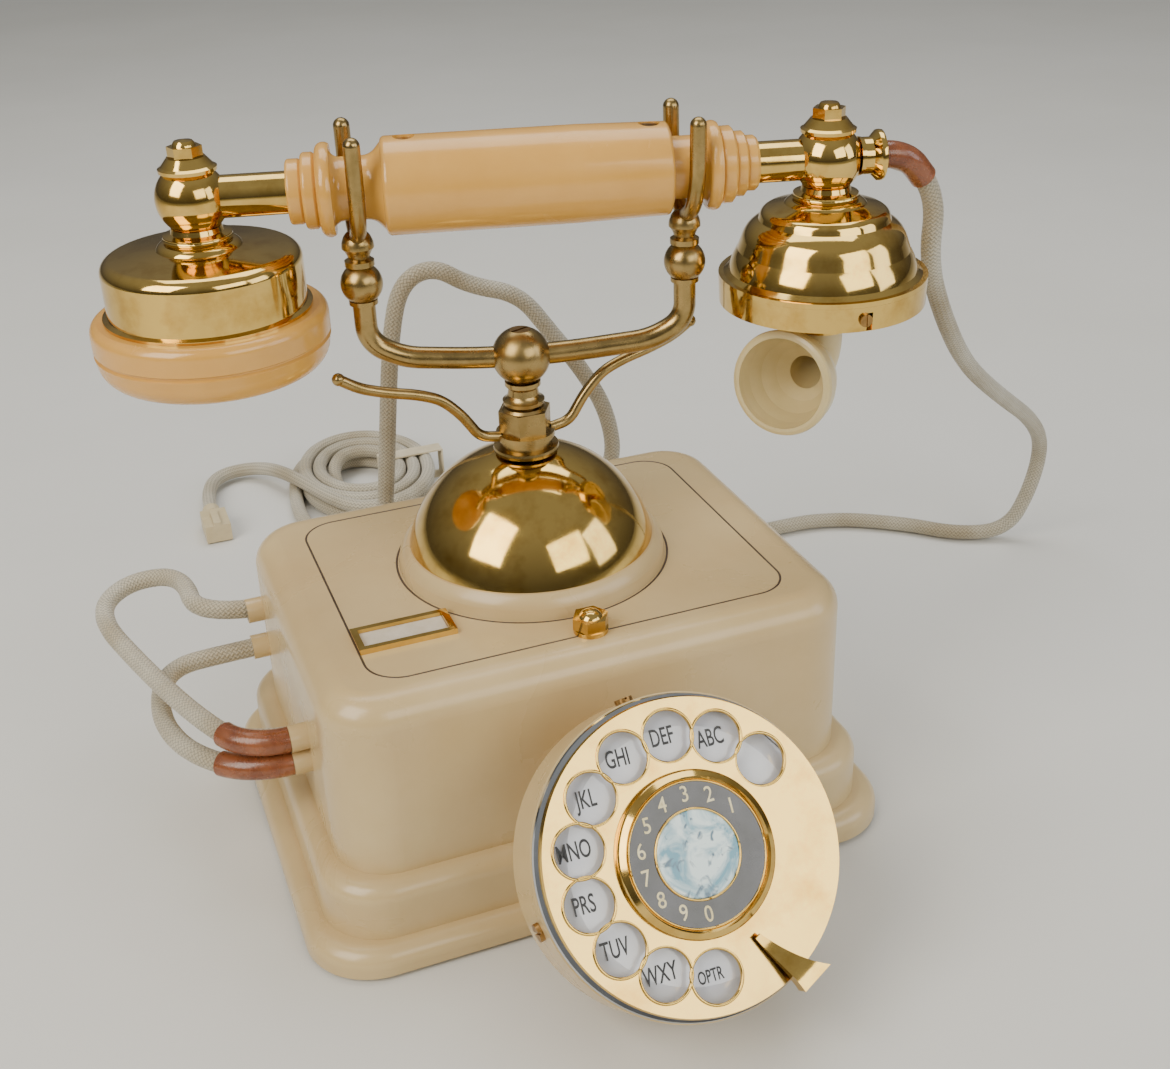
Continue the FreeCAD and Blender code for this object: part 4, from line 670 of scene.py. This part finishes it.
def grown(name, tree, values, place=None):
    """A plain mesh piece grown by a geometry tree with those input values."""
    piece = bpy.data.objects.new(name, bpy.data.meshes.new(name))
    SCENE.collection.objects.link(piece)
    modifier = piece.modifiers.new("grow", "NODES")
    modifier.node_group = tree
    for item in tree.interface.items_tree:
        if item.in_out == "INPUT" and item.name in values:
            modifier[item.identifier] = values[item.name]
    mesh = bpy.data.meshes.new_from_object(piece.evaluated_get(bpy.context.evaluated_depsgraph_get()))
    piece.modifiers.clear()
    if place is not None:
        mesh.transform(place)
    piece.data = mesh
    return piece


def rounded_line_tree():
    """A thin round bead along a rectangle with rounded corners, or a circle where the corner
    radius is half the width."""
    tree, given, out = new_tree("rounded_line", [
        ("Width", "Float", 0.1), ("Depth", "Float", 0.1), ("Corner", "Float", 0.01),
        ("Bead", "Float", 0.001),
        ("Finish", "Material", None)])
    box = node(tree, "GeometryNodeCurvePrimitiveQuadrilateral", links={"Width": (given, "Width"),
                                                                      "Height": (given, "Depth")})
    bent = node(tree, "GeometryNodeFilletCurve", {"mode": "POLY", "Count": 24},
                {"Curve": (box, "Curve"), "Radius": (given, "Corner")})
    profile = node(tree, "GeometryNodeCurvePrimitiveCircle", {"Resolution": 10},
                   {"Radius": (given, "Bead")})
    tube = node(tree, "GeometryNodeCurveToMesh", links={"Curve": (bent, "Curve"),
                                                        "Profile Curve": (profile, "Curve")})
    real = node(tree, "GeometryNodeRealizeInstances", links={"Geometry": (tube, "Mesh")})
    node_out = node(tree, "GeometryNodeSetMaterial", links={"Geometry": (real, "Geometry"),
                                                            "Material": (given, "Finish")})
    tree.links.new(node_out.outputs["Geometry"], out.inputs["Geometry"])
    return tree


def ring_row_tree():
    """Round beads on the points of a circle, each a ring of its own."""
    tree, given, out = new_tree("ring_row", [
        ("Count", "Int", 10), ("Start", "Float", 0.0), ("Step", "Float", 0.5), ("Reach", "Float", 0.03),
        ("Ring", "Float", 0.007), ("Bead", "Float", 0.0004), ("Finish", "Material", None)])
    index = node(tree, "GeometryNodeInputIndex")
    turn = node(tree, "ShaderNodeMath", {"operation": "MULTIPLY_ADD"},
                {0: (index, "Index"), 1: (given, "Step"), 2: (given, "Start")})
    cosine = node(tree, "ShaderNodeMath", {"operation": "COSINE"}, {0: (turn, "Value")})
    sine = node(tree, "ShaderNodeMath", {"operation": "SINE"}, {0: (turn, "Value")})
    right = node(tree, "ShaderNodeMath", {"operation": "MULTIPLY"},
                 {0: (cosine, "Value"), 1: (given, "Reach")})
    up = node(tree, "ShaderNodeMath", {"operation": "MULTIPLY"},
              {0: (sine, "Value"), 1: (given, "Reach")})
    spot = node(tree, "ShaderNodeCombineXYZ", links={"X": (right, "Value"), "Y": (up, "Value")})
    points = node(tree, "GeometryNodePoints",
                  links={"Count": (given, "Count"), "Position": (spot, "Vector")})
    circle = node(tree, "GeometryNodeCurvePrimitiveCircle", {"Resolution": 48},
                  {"Radius": (given, "Ring")})
    profile = node(tree, "GeometryNodeCurvePrimitiveCircle", {"Resolution": 10},
                   {"Radius": (given, "Bead")})
    ring = node(tree, "GeometryNodeCurveToMesh", links={"Curve": (circle, "Curve"),
                                                        "Profile Curve": (profile, "Curve")})
    row = node(tree, "GeometryNodeInstanceOnPoints", links={"Points": (points, "Points"),
                                                            "Instance": (ring, "Mesh")})
    real = node(tree, "GeometryNodeRealizeInstances", links={"Geometry": (row, "Instances")})
    dressed = node(tree, "GeometryNodeSetMaterial", links={"Geometry": (real, "Geometry"),
                                                           "Material": (given, "Finish")})
    tree.links.new(dressed.outputs["Geometry"], out.inputs["Geometry"])
    return tree


def smooth(piece):
    for face in piece.data.polygons:
        face.use_smooth = True


def bead_line(name, tree, width, depth, corner, bead, finish, rider, place):
    piece = grown(name, tree, {"Width": width, "Depth": depth, "Corner": corner, "Bead": bead,
                               "Finish": FINISH[finish]}, place)
    smooth(piece)
    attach(piece, rider)


STRIPE_WIDTH = 134 * MM
STRIPE_DEPTH = 103.4 * MM
STRIPE_CORNER = 11 * MM
STRIPE_BEAD = 0.5 * MM
STRIPE_SUNK = 0.33 * MM
STRIPE_ROUND_SPARE = 1.4 * MM


def draw_stripes(tree):
    """Dark pinstripes on the box top: one round its edge, one round the dome's seat."""
    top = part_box("housing")[1].z - STRIPE_SUNK
    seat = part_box("bell_seat")
    middle = (seat[0] + seat[1]) / 2
    girth = seat[1].x - seat[0].x + STRIPE_ROUND_SPARE
    bead_line("pinstripe_square", tree, STRIPE_WIDTH, STRIPE_DEPTH, STRIPE_CORNER, STRIPE_BEAD,
              "line_paint", "base", Matrix.Translation((0, 0, top)))
    bead_line("pinstripe_round", tree, girth, girth, girth / 2, STRIPE_BEAD, "line_paint", "base",
              Matrix.Translation((middle.x, middle.y, top)))


def draw_lines():
    """The pinstripes, and gilt beads round the two discs of the dial."""
    tree = rounded_line_tree()
    draw_stripes(tree)
    for name, radius, bead, height in (("gilt_edge_inner", 11.9 * MM, 0.35 * MM, 3.0 * MM),
                                       ("gilt_edge_outer", 19.25 * MM, 0.3 * MM, NUMBER_TOP)):
        bead_line(name, tree, 2 * radius, 2 * radius, radius, bead, "polished_brass", "dial_wheel",
                  DIAL @ Matrix.Translation((0, 0, height)))


def roll_hole_edges():
    """A rolled brass edge round each finger hole."""
    piece = grown("finger_hole_edges", ring_row_tree(), {
        "Count": 10, "Start": math.radians(HOLE_START), "Step": math.radians(HOLE_STEP),
        "Reach": HOLE_RING, "Ring": HOLE_RADIUS + 0.15 * MM, "Bead": 0.45 * MM,
        "Finish": FINISH["polished_brass"]}, DIAL @ Matrix.Translation((0, 0, LIFT_OFF)))
    smooth(piece)
    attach(piece, "dial_wheel")


# ---------------------------------------------------------------- the whole scene

aim_camera()
light_the_room()
lay_floor()
dress_frame()
lay_cords()
write_dial()
draw_lines()
roll_hole_edges()
